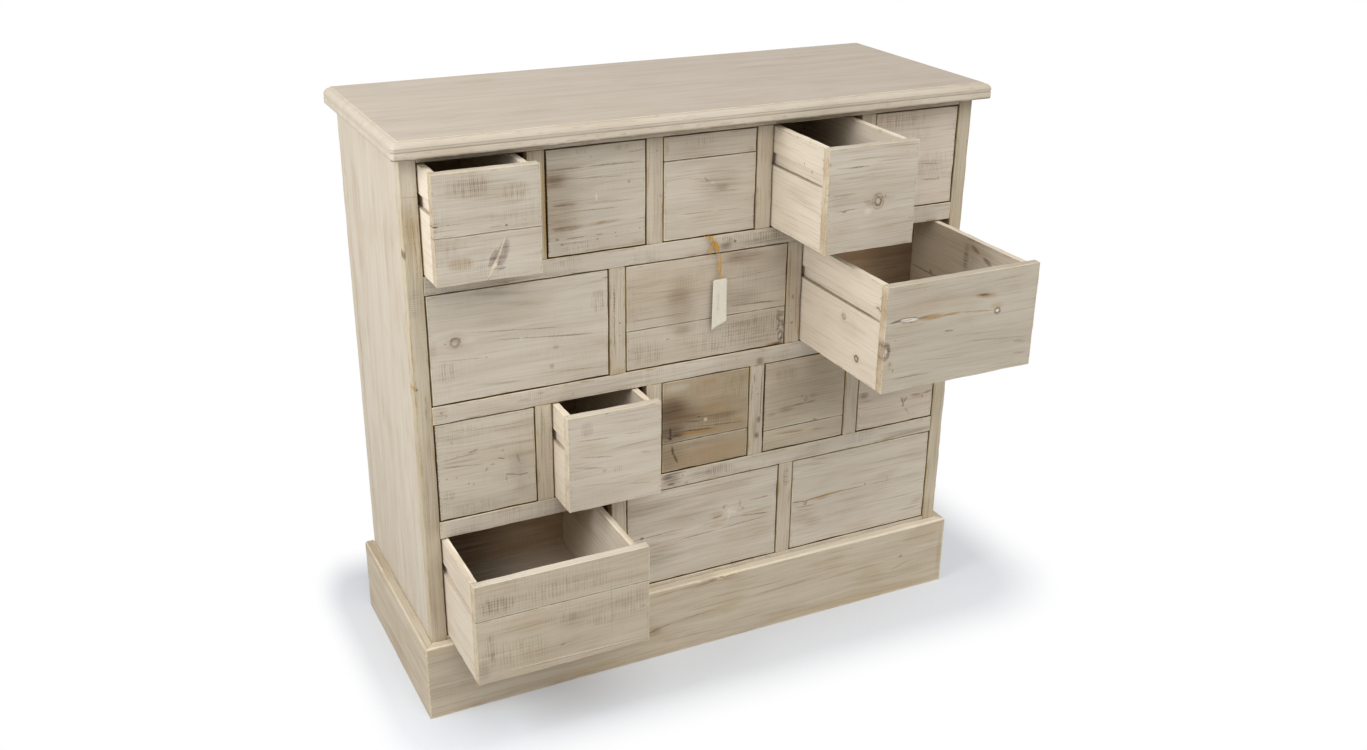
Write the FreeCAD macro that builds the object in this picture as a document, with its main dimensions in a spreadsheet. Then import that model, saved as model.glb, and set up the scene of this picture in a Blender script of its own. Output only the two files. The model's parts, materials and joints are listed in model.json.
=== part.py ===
import FreeCAD, Part
import Sketcher

import math
import os
import re

# A low, wide chest of sixteen drawers in limewashed pine: two rows of five small
# drawers and two rows of three large ones, in a face frame on a plinth.
# Millimetres. X runs along the front, Y from the front to the back, Z upwards.
# The origin is the middle of the underside of the front plinth board.

SIZES = {
    # Carcase and face frame
    "body_width": (968, "side to side over the two side panels"),
    "body_depth": (354, "face of the frame to the outside of the back"),
    "stile_width": (25, "upright at each end of the face frame"),
    "mullion_width": (27, "upright between two drawers"),
    "rail_height": (29, "rail between two rows, and the rail under the lowest row"),
    "top_rail_height": (13, "rail under the top board"),
    "frame_thickness": (18, "stiles, rails and mullions, front to back"),
    "small_row_height": (166, "opening of a row of five"),
    "large_row_height": (177, "opening of a row of three"),
    "side_panel_thickness": (18, "side panels and the posts behind them"),
    "post_depth": (24, "rear post, front to back"),
    "back_thickness": (8, "back panel"),
    "shelf_thickness": (13, "board behind each rail"),
    "partition_thickness": (13, "upright board behind each mullion"),
    # Plinth
    "plinth_height": (133, "floor to the top of the plinth"),
    "rail_reveal": (6, "lowest rail seen above the plinth"),
    "plinth_thickness": (16, "plinth boards, which stand proud of the body"),
    "plinth_rear_reach": (4, "side plinths past the back"),
    "plinth_arris": (4, "rounding along the upper outer edge"),
    # Top board
    "top_side_overhang": (16, "past the side panels"),
    "top_front_overhang": (30, "past the face of the frame"),
    "top_rear_overhang": (9, "past the back"),
    "band_height": (10, "plain band along the lower edge"),
    "crease_height": (1.5, "crease between the band and the nose"),
    "crease_depth": (1.5, "how far the crease goes in"),
    "nose_height": (12, "rounded nose above the crease"),
    "nose_radius": (10, "rounding of the nose"),
    "field_height": (1.5, "raised flat field on top"),
    "field_inset": (11, "field back from the edge of the board"),
    # Drawers
    "front_thickness": (15, "drawer front"),
    "front_gap": (2, "gap round each drawer front"),
    "front_setback": (1, "drawer front behind the face of the frame"),
    "drawer_rear_gap": (34, "closed drawer to the back panel"),
    "drawer_side_thickness": (11, "drawer sides"),
    "drawer_back_thickness": (11, "drawer back"),
    "drawer_bottom_thickness": (6, "drawer bottom"),
    "drawer_bottom_rise": (20, "lower edge of the sides to the underside of the bottom"),
    "small_lip": (12, "small front past the right side of its drawer"),
    "large_lip": (16, "large front past the right side of its drawer"),
    "groove_drop": (42, "upper edge of a drawer side to its groove"),
    "groove_height": (19.5, "groove in a drawer side"),
    "groove_depth": (5, "depth of the groove"),
    # Runners
    "runner_rest": (0.3, "runner under the upper face of the groove"),
    "runner_slack": (2.2, "runner above the lower face of the groove"),
    "runner_end_play": (1, "runner to the bottom of the groove"),
    "runner_rear_gap": (22, "runner to the back panel"),
    # Label on its string
    "string_diameter": (1.5, "jute string"),
    "string_rest": (0.3, "string above the rail that it lies on"),
    "tag_width": (27, "paper tag"),
    "tag_long_edge": (84, "left edge of the tag"),
    "tag_short_edge": (72, "right edge of the tag"),
    "tag_thickness": (0.6, "paper tag"),
    "tag_corner_cut": (5, "cut corners at the top of the tag"),
    # Drawers as they stand open
    "row_1_drawer_1_open": (60, "how far this drawer stands open"),
    "row_1_drawer_4_open": (162, "how far this drawer stands open"),
    "row_2_drawer_3_open": (243, "how far this drawer stands open"),
    "row_3_drawer_2_open": (61, "how far this drawer stands open"),
    "row_4_drawer_1_open": (153, "how far this drawer stands open"),
}

doc = FreeCAD.newDocument("drawer_chest")
sheet = doc.addObject("Spreadsheet::Sheet", "Sizes")
for row, (alias, (value, meaning)) in enumerate(SIZES.items(), start=1):
    sheet.set(f"A{row}", meaning)
    sheet.set(f"B{row}", str(value))
    sheet.setAlias(f"B{row}", alias)
doc.recompute()

nodes = []


def formula(text):
    """The text as an expression, each alias in it led by the sheet's name."""
    def lead(word):
        return "Sizes." + word.group() if word.group() in SIZES else word.group()
    return re.sub(r"[a-z]\w*", lead, text)


def measure(text):
    """The value of a formula, in millimetres."""
    return float(sheet.evalExpression(formula(text)))


def bind(piece, **formulas):
    for name, text in formulas.items():
        piece.setExpression(name, formula(text))


def place(piece, x, y, z):
    """Put the piece's own origin at x, y, z, each a formula."""
    for axis, text in zip("xyz", (x, y, z)):
        piece.setExpression("Placement.Base." + axis, formula(text))


def board(label, width, depth, height, x, y, z):
    """A square-edged board, placed by its left, front, lower corner."""
    piece = doc.addObject("Part::Box", label)
    piece.Label = label
    bind(piece, Length=width, Width=depth, Height=height)
    place(piece, x, y, z)
    return piece


def group(label, pieces):
    """Separate solids that share one node."""
    piece = doc.addObject("Part::Compound", label)
    piece.Label = label
    piece.Links = pieces
    return piece


def keep(piece):
    """Hand the piece in as a node of its own."""
    nodes.append(piece)
    return piece


def rounded(label, base, radius, wanted):
    """The base with every edge that `wanted` picks rounded."""
    doc.recompute()
    piece = doc.addObject("Part::Fillet", label)
    piece.Label = label
    piece.Base = base
    edges = enumerate(base.Shape.Edges, start=1)
    piece.Edges = [(number, radius, radius) for number, edge in edges if wanted(edge.BoundBox)]
    return piece


# Places that many pieces share

FACE_Y = "(plinth_thickness / 2)"
FRAME_BACK_Y = f"({FACE_Y} + frame_thickness)"
REAR_Y = f"({FACE_Y} + body_depth)"
HALF_BODY = "(body_width / 2)"
HALF_INSIDE = f"({HALF_BODY} - side_panel_thickness)"
HALF_OPENING = f"({HALF_BODY} - stile_width)"
INSIDE_DEPTH = "(body_depth - frame_thickness - back_thickness)"
DRAWER_LENGTH = "(body_depth - back_thickness - drawer_rear_gap - front_setback)"
RUNNER_LENGTH = f"({INSIDE_DEPTH} - runner_rear_gap)"
SHELF_SINK = "((rail_height - shelf_thickness) / 2)"

LOWEST_ROW_Z = "(plinth_height + rail_reveal)"
LOWEST_RAIL_Z = f"({LOWEST_ROW_Z} - rail_height)"

SMALL_COUNT = 5
LARGE_COUNT = 3


class Row:
    """One row of equal drawers; row 1 is the highest."""

    def __init__(self, number, kind, count, rows_below):
        self.name = f"row_{number}"
        self.kind = kind
        self.count = count
        self.opening = f"((2 * {HALF_OPENING} - {count - 1} * mullion_width) / {count})"
        self.height = f"{kind}_row_height"
        self.lip = f"{kind}_lip"
        self.z = f"({LOWEST_ROW_Z}" + "".join(f" + {row.height} + rail_height" for row in rows_below) + ")"
        self.top_z = f"({self.z} + {self.height})"
        self.is_highest = number == 1

    def left(self, column):
        """Left edge of an opening, counted from 0 at the left."""
        return f"(-{HALF_OPENING} + {column} * ({self.opening} + mullion_width))"


ROWS = []
for number in (4, 3, 2, 1):
    if number % 2:
        ROWS.append(Row(number, "small", SMALL_COUNT, ROWS))
    else:
        ROWS.append(Row(number, "large", LARGE_COUNT, ROWS))
BODY_TOP_Z = f"({ROWS[-1].top_z} + top_rail_height)"


def between_drawers(kind, make):
    """What `make` gives for each gap between two drawers, in the rows of that kind."""
    rows = [row for row in ROWS if row.kind == kind]
    return [make(row, column) for row in rows for column in range(1, row.count)]


def make_top_board():
    """A plain band, a crease and a rounded nose on three edges, and a raised field."""
    def layer(name, inset, height, z):
        return board(
            "top_" + name,
            f"body_width + 2 * (top_side_overhang - {inset})",
            f"body_depth + top_front_overhang + top_rear_overhang - {inset}",
            height,
            f"-{HALF_BODY} - top_side_overhang + {inset}",
            f"{FACE_Y} - top_front_overhang + {inset}",
            f"{BODY_TOP_Z} + {z}",
        )

    band = layer("band", "0", "band_height", "0")
    crease = layer("crease", "crease_depth", "crease_height", "band_height")
    nose = layer("nose", "0", "nose_height", "band_height + crease_height")
    field = layer("field", "field_inset", "field_height", "band_height + crease_height + nose_height")
    doc.recompute()
    limits = nose.Shape.BoundBox

    def is_upper_edge(box):
        return box.ZMin > limits.Center.z and box.YMin < limits.Center.y

    nose_round = rounded("top_nose_round", nose, measure("nose_radius"), is_upper_edge)
    top = doc.addObject("Part::MultiFuse", "top_board")
    top.Label = "top_board"
    top.Shapes = [band, crease, nose_round, field]
    top.Refine = True
    keep(top)


def make_face_frame():
    for side, x in (("left", f"-{HALF_BODY}"), ("right", HALF_OPENING)):
        keep(board(f"stile_{side}", "stile_width", "frame_thickness", BODY_TOP_Z, x, FACE_Y, "0"))

    def rail(label, height, z):
        keep(board(label, f"2 * {HALF_OPENING}", "frame_thickness", height, f"-{HALF_OPENING}", FACE_Y, z))

    rail("rail_lowest", "rail_height", LOWEST_RAIL_Z)
    for row in ROWS[:-1]:
        rail(f"rail_over_{row.name}", "rail_height", row.top_z)
    rail("rail_top", "top_rail_height", ROWS[-1].top_z)

    def mullion(row, column):
        x = f"{row.left(column)} - mullion_width"
        label = f"{row.name}_mullion_{column}"
        return board(label, "mullion_width", "frame_thickness", row.height, x, FACE_Y, row.z)

    for kind in ("large", "small"):
        keep(group(f"mullions_{kind}_rows", between_drawers(kind, mullion)))


def make_carcase():
    panel_depth = "body_depth - frame_thickness - post_depth"
    post_y = f"{REAR_Y} - post_depth"
    for side, x in (("left", f"-{HALF_BODY}"), ("right", HALF_INSIDE)):
        thickness = "side_panel_thickness"
        keep(board(f"side_panel_{side}", thickness, panel_depth, BODY_TOP_Z, x, FRAME_BACK_Y, "0"))
        keep(board(f"rear_post_{side}", thickness, "post_depth", BODY_TOP_Z, x, post_y, "0"))

    inside_left = f"-{HALF_INSIDE}"
    inside_width = f"2 * {HALF_INSIDE}"
    back_height = f"{BODY_TOP_Z} - {LOWEST_RAIL_Z}"
    back_y = f"{REAR_Y} - back_thickness"
    keep(board("back_panel", inside_width, "back_thickness", back_height, inside_left, back_y, LOWEST_RAIL_Z))

    def shelf(label, rail_z):
        z = f"{rail_z} + {SHELF_SINK}"
        keep(board(label, inside_width, INSIDE_DEPTH, "shelf_thickness", inside_left, FRAME_BACK_Y, z))

    shelf("bottom_board", LOWEST_RAIL_Z)
    for row in ROWS[:-1]:
        shelf(f"shelf_over_{row.name}", row.top_z)

    def partition(row, column):
        low = f"({row.z} - {SHELF_SINK})"
        high = BODY_TOP_Z if row.is_highest else f"({row.top_z} + {SHELF_SINK})"
        x = f"{row.left(column)} - (mullion_width + partition_thickness) / 2"
        label = f"{row.name}_partition_{column}"
        return board(label, "partition_thickness", INSIDE_DEPTH, f"{high} - {low}", x, FRAME_BACK_Y, low)

    for kind in ("large", "small"):
        keep(group(f"partitions_{kind}_rows", between_drawers(kind, partition)))


def make_runners():
    """Strips fixed to the panels and partitions, which enter the drawers' grooves."""
    left_runners = []
    right_runners = []
    behind_stile = "(stile_width - side_panel_thickness)"
    behind_mullion = "((mullion_width - partition_thickness) / 2)"
    reach = "front_gap + groove_depth - runner_end_play"
    height = "groove_height - runner_rest - runner_slack"
    for row in ROWS:
        z = f"{row.top_z} - front_gap - groove_drop - groove_height + runner_slack"
        for column in range(row.count):
            left_backing = behind_stile if column == 0 else behind_mullion
            right_backing = behind_stile if column == row.count - 1 else behind_mullion
            name = f"{row.name}_runner_{column + 1}"
            left_width = f"{left_backing} + {reach}"
            left_x = f"{row.left(column)} - {left_backing}"
            left_runners.append(
                board(name + "_left", left_width, RUNNER_LENGTH, height, left_x, FRAME_BACK_Y, z)
            )
            right_width = f"{right_backing} + {row.lip} + {reach}"
            right_x = f"{row.left(column)} + {row.opening} - {row.lip} - ({reach})"
            right_runners.append(
                board(name + "_right", right_width, RUNNER_LENGTH, height, right_x, FRAME_BACK_Y, z)
            )
    keep(group("runners_left", left_runners))
    keep(group("runners_right", right_runners))


def make_plinth():
    """Three boards, mitred at the two front corners."""
    length = "(body_width + 2 * plinth_thickness)"
    reach = "(body_depth + plinth_rear_reach + plinth_thickness)"
    front = doc.addObject("Part::Wedge", "plinth_front_blank")
    bind(front, Xmax=length, X2min="plinth_thickness", X2max=f"{length} - plinth_thickness")
    left = doc.addObject("Part::Wedge", "plinth_left_blank")
    bind(left, Xmax=reach, X2min="0", X2max=f"{reach} - plinth_thickness")
    left.Placement.Rotation = FreeCAD.Rotation(FreeCAD.Vector(0, 0, 1), -90)
    right = doc.addObject("Part::Wedge", "plinth_right_blank")
    bind(right, Xmax=reach, X2min="plinth_thickness", X2max=reach)
    right.Placement.Rotation = FreeCAD.Rotation(FreeCAD.Vector(0, 0, 1), 90)

    outside_x = f"{HALF_BODY} + plinth_thickness"
    front_y = f"{FACE_Y} - plinth_thickness"
    place(front, f"-({outside_x})", front_y, "0")
    place(left, f"-({outside_x})", f"{REAR_Y} + plinth_rear_reach", "0")
    place(right, outside_x, front_y, "0")
    for blank in (front, left, right):
        blank.Label = blank.Name
        blank.Xmin = blank.Ymin = blank.Zmin = 0
        bind(blank, Ymax="plinth_thickness", Zmax="plinth_height")
        bind(blank, Z2min="0", Z2max="plinth_height")
    doc.recompute()

    side_x = measure(f"{HALF_BODY} + plinth_thickness / 2")
    front_limit = measure(f"{FACE_Y} - plinth_thickness / 2")
    mitre_length = measure("2 * plinth_thickness")

    def is_upper_outer_edge(box):
        is_outer = box.YMax < front_limit or abs(box.Center.x) > side_x
        return is_outer and box.ZMin > 0 and box.DiagonalLength > mitre_length

    for blank in (front, left, right):
        label = blank.Name.replace("_blank", "")
        keep(rounded(label, blank, measure("plinth_arris"), is_upper_outer_edge))


def make_drawer(row, column):
    """A front, and a box of two grooved sides, a back and a bottom behind it."""
    name = f"{row.name}_drawer_{column + 1}"
    opened = f"{name}_open" if f"{name}_open" in SIZES else "0"
    front_y = f"({FACE_Y} + front_setback - {opened})"
    box_y = f"({front_y} + front_thickness)"
    left_x = f"({row.left(column)} + front_gap)"
    low_z = f"({row.z} + front_gap)"
    width = f"({row.opening} - 2 * front_gap)"
    height = f"({row.height} - 2 * front_gap)"
    box_width = f"({width} - {row.lip})"
    box_depth = f"({DRAWER_LENGTH} - front_thickness)"
    keep(board(f"{name}_front", width, "front_thickness", height, left_x, front_y, low_z))

    def grooved_side(side, x, groove_x):
        label = f"{name}_{side}"
        groove_z = f"{low_z} + {height} - groove_drop - groove_height"
        blank = board(f"{label}_blank", "drawer_side_thickness", box_depth, height, x, box_y, low_z)
        groove = board(
            f"{label}_groove", "groove_depth", box_depth, "groove_height", groove_x, box_y, groove_z
        )
        cut = doc.addObject("Part::Cut", f"{label}_side")
        cut.Label = cut.Name
        cut.Base = blank
        cut.Tool = groove
        return cut

    right_x = f"({left_x} + {box_width})"
    left_side = grooved_side("left", left_x, left_x)
    right_side = grooved_side("right", f"{right_x} - drawer_side_thickness", f"{right_x} - groove_depth")
    inside_x = f"{left_x} + drawer_side_thickness"
    inside_width = f"{box_width} - 2 * drawer_side_thickness"
    back_y = f"{box_y} + {box_depth} - drawer_back_thickness"
    back = board(f"{name}_back", inside_width, "drawer_back_thickness", height, inside_x, back_y, low_z)
    bottom_depth = f"{box_depth} - drawer_back_thickness"
    bottom_z = f"{low_z} + drawer_bottom_rise"
    bottom = board(
        f"{name}_bottom", inside_width, bottom_depth, "drawer_bottom_thickness", inside_x, box_y, bottom_z
    )
    keep(group(f"{name}_box", [left_side, right_side, back, bottom]))


ARC_SHARE = 0.45  # of the shorter of two runs, taken up by the arc between them


def smooth_tube(points, diameter):
    """A tube along straight runs joined by tangent arcs."""
    edges = []
    last = points[0]
    for before, corner, after in zip(points, points[1:], points[2:]):
        back = before - corner
        ahead = after - corner
        turn = math.pi - back.getAngle(ahead)
        cut = ARC_SHARE * min(back.Length, ahead.Length)
        radius = cut / math.tan(turn / 2)
        start = corner + back.normalize() * cut
        end = corner + ahead.normalize() * cut
        inward = (back + ahead).normalize()
        middle = corner + inward * (radius / math.cos(turn / 2) - radius)
        edges.append(Part.LineSegment(last, start).toShape())
        edges.append(Part.Arc(start, middle, end).toShape())
        last = end
        print(f"string bend radius {radius:.1f}")
    edges.append(Part.LineSegment(last, points[-1]).toShape())
    path = Part.Wire(edges)
    section = Part.Wire(Part.makeCircle(diameter / 2, points[0], points[1] - points[0]))
    tube = path.makePipeShell([section], True, False)
    expected = math.pi * diameter**2 / 4 * path.Length
    print(f"string length {path.Length:.1f}, volume against section {tube.Volume / expected:.4f}")
    return tube


def make_tag():
    """A blank paper tag that hangs by a string from the gap under the middle drawer of row 1."""
    rail_top_z = ROWS[-1].z
    start = FreeCAD.Vector(0, measure(FACE_Y), measure(f"{rail_top_z} + string_rest + string_diameter / 2"))
    # The route starts in the gap over the rail, bends down in front of it and hangs.
    steps = [
        (-1, 13, 0),
        (-1, -5.5, 0),
        (1.5, -5.5, -14),
        (9, -5.5, -39),
        (16, -5.5, -59),
        (16.5, -5.5, -72.5),
    ]
    route = [start + FreeCAD.Vector(*step) for step in steps]
    string = doc.addObject("Part::Feature", "tag_string")
    string.Label = "tag_string"
    string.Shape = smooth_tube(route, measure("string_diameter"))
    keep(string)

    tag = doc.addObject("PartDesign::Body", "paper_tag")
    tag.Label = "paper_tag"
    upright = next(plane for plane in tag.Origin.OriginFeatures if plane.Role == "XZ_Plane")
    outline = tag.newObject("Sketcher::SketchObject", "tag_outline")
    outline.AttachmentSupport = (upright, [""])
    outline.MapMode = "FlatFace"
    # Clockwise from the left end of the upper edge; the lower edge slants.
    corners = [
        ("tag_corner_cut", "0"),
        ("tag_width - tag_corner_cut", "0"),
        ("tag_width", "-tag_corner_cut"),
        ("tag_width", "-tag_short_edge"),
        ("0", "-tag_long_edge"),
        ("0", "-tag_corner_cut"),
    ]
    vectors = [FreeCAD.Vector(measure(x), measure(z), 0) for x, z in corners]
    for first, second in zip(vectors, vectors[1:] + vectors[:1]):
        outline.addGeometry(Part.LineSegment(first, second), False)
    for line in range(len(corners)):
        following = (line + 1) % len(corners)
        outline.addConstraint(Sketcher.Constraint("Coincident", line, 2, following, 1))
    sketch_origin = -1
    for line, formulas in enumerate(corners):
        for kind, text in zip(("DistanceX", "DistanceY"), formulas):
            constraint = Sketcher.Constraint(kind, sketch_origin, 1, line, 1, measure(text))
            name = f"{kind}_{line}"
            outline.renameConstraint(outline.addConstraint(constraint), name)
            outline.setExpression(f"Constraints.{name}", formula(text))
    paper = tag.newObject("PartDesign::Pad", "tag_paper")
    paper.Profile = outline
    bind(paper, Length="tag_thickness")
    end = route[-1]
    place(tag, f"{end.x} - tag_width / 2", f"{end.y} + tag_thickness / 2", f"{end.z}")
    keep(tag)


make_top_board()
make_face_frame()
make_carcase()
make_runners()
make_plinth()
for row in ROWS:
    for column in range(row.count):
        make_drawer(row, column)
make_tag()
doc.recompute()

for piece in doc.Objects:
    if "Invalid" in piece.State or "Error" in piece.State:
        raise RuntimeError(f"{piece.Label} failed: {piece.State}")
for piece in nodes:
    if piece.Shape.isNull() or not piece.Shape.isValid() or not piece.Shape.Solids:
        raise RuntimeError(f"{piece.Label} has no valid shape")

os.makedirs("parts", exist_ok=True)
for piece in nodes:
    piece.Shape.exportStep(os.path.join("parts", piece.Label + ".step"))
print(f"{len(nodes)} nodes, {sum(len(piece.Shape.Solids) for piece in nodes)} solids")
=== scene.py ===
"""A low chest of sixteen drawers in limewashed reclaimed pine, dressed around its measured frame."""

import json
import math
import random
from dataclasses import dataclass

import bmesh
import bpy
from mathutils import Matrix, Vector, noise


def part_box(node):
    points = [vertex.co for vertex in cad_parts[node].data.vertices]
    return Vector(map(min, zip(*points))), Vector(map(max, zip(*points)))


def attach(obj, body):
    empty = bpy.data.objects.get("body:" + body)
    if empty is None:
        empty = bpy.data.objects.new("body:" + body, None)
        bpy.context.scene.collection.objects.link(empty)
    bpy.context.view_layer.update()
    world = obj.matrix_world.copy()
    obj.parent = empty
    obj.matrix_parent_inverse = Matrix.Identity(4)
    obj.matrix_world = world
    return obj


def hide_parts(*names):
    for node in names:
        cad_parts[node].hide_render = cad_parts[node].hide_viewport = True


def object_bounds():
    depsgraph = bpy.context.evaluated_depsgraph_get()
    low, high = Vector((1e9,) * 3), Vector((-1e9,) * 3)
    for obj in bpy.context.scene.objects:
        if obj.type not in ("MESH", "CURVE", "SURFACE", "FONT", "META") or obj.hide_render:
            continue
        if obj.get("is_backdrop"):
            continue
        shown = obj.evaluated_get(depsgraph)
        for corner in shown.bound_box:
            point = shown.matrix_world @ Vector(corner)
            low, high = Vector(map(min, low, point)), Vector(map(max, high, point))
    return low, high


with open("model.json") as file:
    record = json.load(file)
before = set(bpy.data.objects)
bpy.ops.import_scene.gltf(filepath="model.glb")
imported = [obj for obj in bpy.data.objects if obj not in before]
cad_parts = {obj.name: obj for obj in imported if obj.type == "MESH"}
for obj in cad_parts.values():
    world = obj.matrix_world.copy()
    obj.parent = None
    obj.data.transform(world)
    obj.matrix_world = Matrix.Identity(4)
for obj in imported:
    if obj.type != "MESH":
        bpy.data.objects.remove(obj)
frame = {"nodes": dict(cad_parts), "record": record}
FRAME_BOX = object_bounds()

bl_info = {
    "name": "Limewashed drawer chest",
    "version": (1, 0, 0),
    "blender": (4, 5, 0),
    "location": "View3D > Sidebar > Chest",
    "description": "Dresses a chest of sixteen drawers in limewashed pine",
    "category": "Object",
}

MM = 0.001
WHITE = (1, 1, 1, 1)
SMALL_ROWS = (1, 3)
LARGE_ROWS = (2, 4)
COLUMNS = {1: 5, 2: 3, 3: 5, 4: 3}
DRAWERS = [(row, column) for row in COLUMNS for column in range(1, COLUMNS[row] + 1)]

# How a board lies: the axis of its grain, the axis across it and the axis through it.
LEVEL_FRONT = "xzy"
UPRIGHT_FRONT = "zxy"
LEVEL_SIDE = "yzx"
UPRIGHT_SIDE = "zyx"
LYING = "xyz"


# Settings that a user would change


def srgb(red, green, blue):
    """A colour on the 0 to 255 scale, as the linear values that shaders use."""

    def linear(level):
        share = level / 255
        return share / 12.92 if share <= 0.04045 else ((share + 0.055) / 1.055) ** 2.4

    return tuple(linear(level) for level in (red, green, blue))


def colour(name, description, *levels):
    return bpy.props.FloatVectorProperty(
        name=name, description=description, default=srgb(*levels), size=3, subtype="COLOR", min=0, max=1
    )


def number(name, description, value, **others):
    return bpy.props.FloatProperty(name=name, description=description, default=value, min=0, **others)


def length(name, description, millimetres):
    return number(name, description, millimetres * MM, unit="LENGTH", precision=4)


class CHEST_PG_finish(bpy.types.PropertyGroup):
    """Colours of the wash, the wood under it, the string and the label."""

    wash: colour("Wash", "Limewash where it lies thick", 206, 196, 180)
    shade: colour("Wash in the grain", "Limewash that has sunk into the grain", 183, 171, 152)
    line: colour("Grain line", "Dark line of the grain under the wash", 146, 128, 103)
    # Also painted as shade: low on the side panel, on the plinth and one front under open drawers, and in the
    # top board's crease.
    thin: colour("Thin wash", "Grey-brown wood that shows through a thin wash", 128, 109, 84)
    warm: colour("Warm wood", "Orange-brown wood round knots and cracks", 156, 120, 68)
    # Also painted as a highlight on the top face of row 4 drawer 3's front.
    cream: colour("Rubbed edge", "Pale edge where the wash is rubbed away", 226, 214, 180)
    gold: colour("Bare edge", "Golden wood where an edge is worn bare", 168, 140, 88)
    # Painted inside the gaps of the face frame: partly the unwashed wood there, partly painted shade.
    gap: colour("Gap", "Golden-brown wood inside the gaps of the face frame", 100, 74, 42)
    smoke: colour("Smoke", "Purple-grey stains", 120, 100, 90)
    # Also painted as a highlight on the top face of row 4 drawer 1's front.
    pale: colour("Thick wash", "Whitish wash that fills hollows", 226, 220, 208)
    # Also painted as shade: in the gaps at the left ends of some fronts, and inside some open drawers.
    grime: colour("Grime", "Dark dirt in joints, cracks and holes", 64, 48, 32)
    knot: colour("Knot", "Dark knot wood", 104, 82, 58)
    end: colour("End grain", "End grain of a board", 224, 208, 182)
    # Also painted as a highlight along the plinth's top face.
    box: colour("Drawer wash", "Thin wash on the drawers' sides", 232, 220, 202)
    inside: colour("Inside wood", "Unwashed wood inside the carcase", 132, 104, 74)
    jute: colour("Jute", "Golden jute string", 206, 158, 72)
    paper: colour("Paper", "Card of the label", 226, 220, 202)


class CHEST_PG_sizes(bpy.types.PropertyGroup):
    """Sizes that the frame's boxes don't give."""

    arris: length("Arris", "Rounding of a board's edges", 0.9)
    wear: length("Wear", "How far a worn edge is eaten back", 0.8)
    cell: length("Cell", "Spacing of the points along a board's edges", 13)
    front_gap: length("Front gap", "Gap round each drawer front", 2)
    frame_thickness: length("Frame thickness", "Mullions, front to back", 18)
    box_side: length("Drawer side", "Thickness of a drawer's sides and back", 11)
    box_bottom: length("Drawer bottom", "Thickness of a drawer's bottom", 6)
    bottom_rise: length("Bottom rise", "Lower edge of a side to the underside of the bottom", 20)
    groove_drop: length("Groove drop", "Upper edge of a side to its groove", 42)
    groove_height: length("Groove height", "Height of the groove in a side", 19.5)
    groove_depth: length("Groove depth", "Depth of the groove in a side", 5)
    plinth_arris: length("Plinth arris", "Rounding of the plinth's upper edge", 4)
    band_height: length("Band height", "Plain band along the top board's lower edge", 10)
    crease_height: length("Crease height", "Crease between the band and the nose", 1.5)
    crease_depth: length("Crease depth", "How far the worn crease still goes in", 0.7)
    nose_height: length("Nose height", "Rounded nose above the crease", 12)
    nose_radius: length("Nose radius", "Rounding of the nose", 10)
    field_inset: length("Field inset", "Raised field back from the board's edge", 11)
    corner_clip: length("Corner clip", "Clipped corners of the top board", 4)
    string_diameter: length("String", "Diameter of the jute string", 1.5)
    tag_curl: length("Label curl", "How far the label curls", 1.6)


class CHEST_PG_light(bpy.types.PropertyGroup):
    """The studio."""

    side_lamp: number("Side lamp", "Power of the soft lamp at the left", 33, unit="POWER")
    front_lamp: number("Front lamp", "Power of the weak lamp in front, at the right", 6, unit="POWER")
    lamp_size: length("Lamp size", "Width and height of these two lamps", 1400)
    roof_lamp: number("Roof lamp", "Strength of the soft light from above", 1.7)
    roof_lamp_angle: number("Roof angle", "Spread of the light from above", math.radians(60), subtype="ANGLE")
    fill: number("Fill", "Strength of the even light", 0.4)
    floor_glow: number("Floor glow", "How much of the floor's white is there in shadow too", 0.08, max=1)
    shadow_reach: length("Shadow reach", "How far in front of the chest the floor keeps its full shadow", 70)
    white_reach: length("White reach", "How far in front of the chest the floor is plain white", 210)


def finish():
    return bpy.context.scene.chest_finish


def sizes():
    return bpy.context.scene.chest_sizes


def row_name(row, column):
    return f"row_{row}_drawer_{column}"


# Shader nodes


class Wire:
    """An output socket. Arithmetic on it adds Math nodes to its shader."""

    def __init__(self, shader, socket):
        self.shader = shader
        self.socket = socket

    def __add__(self, other):
        return self.shader.math("ADD", self, other)

    def __radd__(self, other):
        return self.shader.math("ADD", other, self)

    def __sub__(self, other):
        return self.shader.math("SUBTRACT", self, other)

    def __rsub__(self, other):
        return self.shader.math("SUBTRACT", other, self)

    def __mul__(self, other):
        return self.shader.math("MULTIPLY", self, other)

    def __rmul__(self, other):
        return self.shader.math("MULTIPLY", other, self)

    def __pow__(self, other):
        return self.shader.math("POWER", self, other)

    def __abs__(self):
        return self.shader.math("ABSOLUTE", self)


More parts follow.
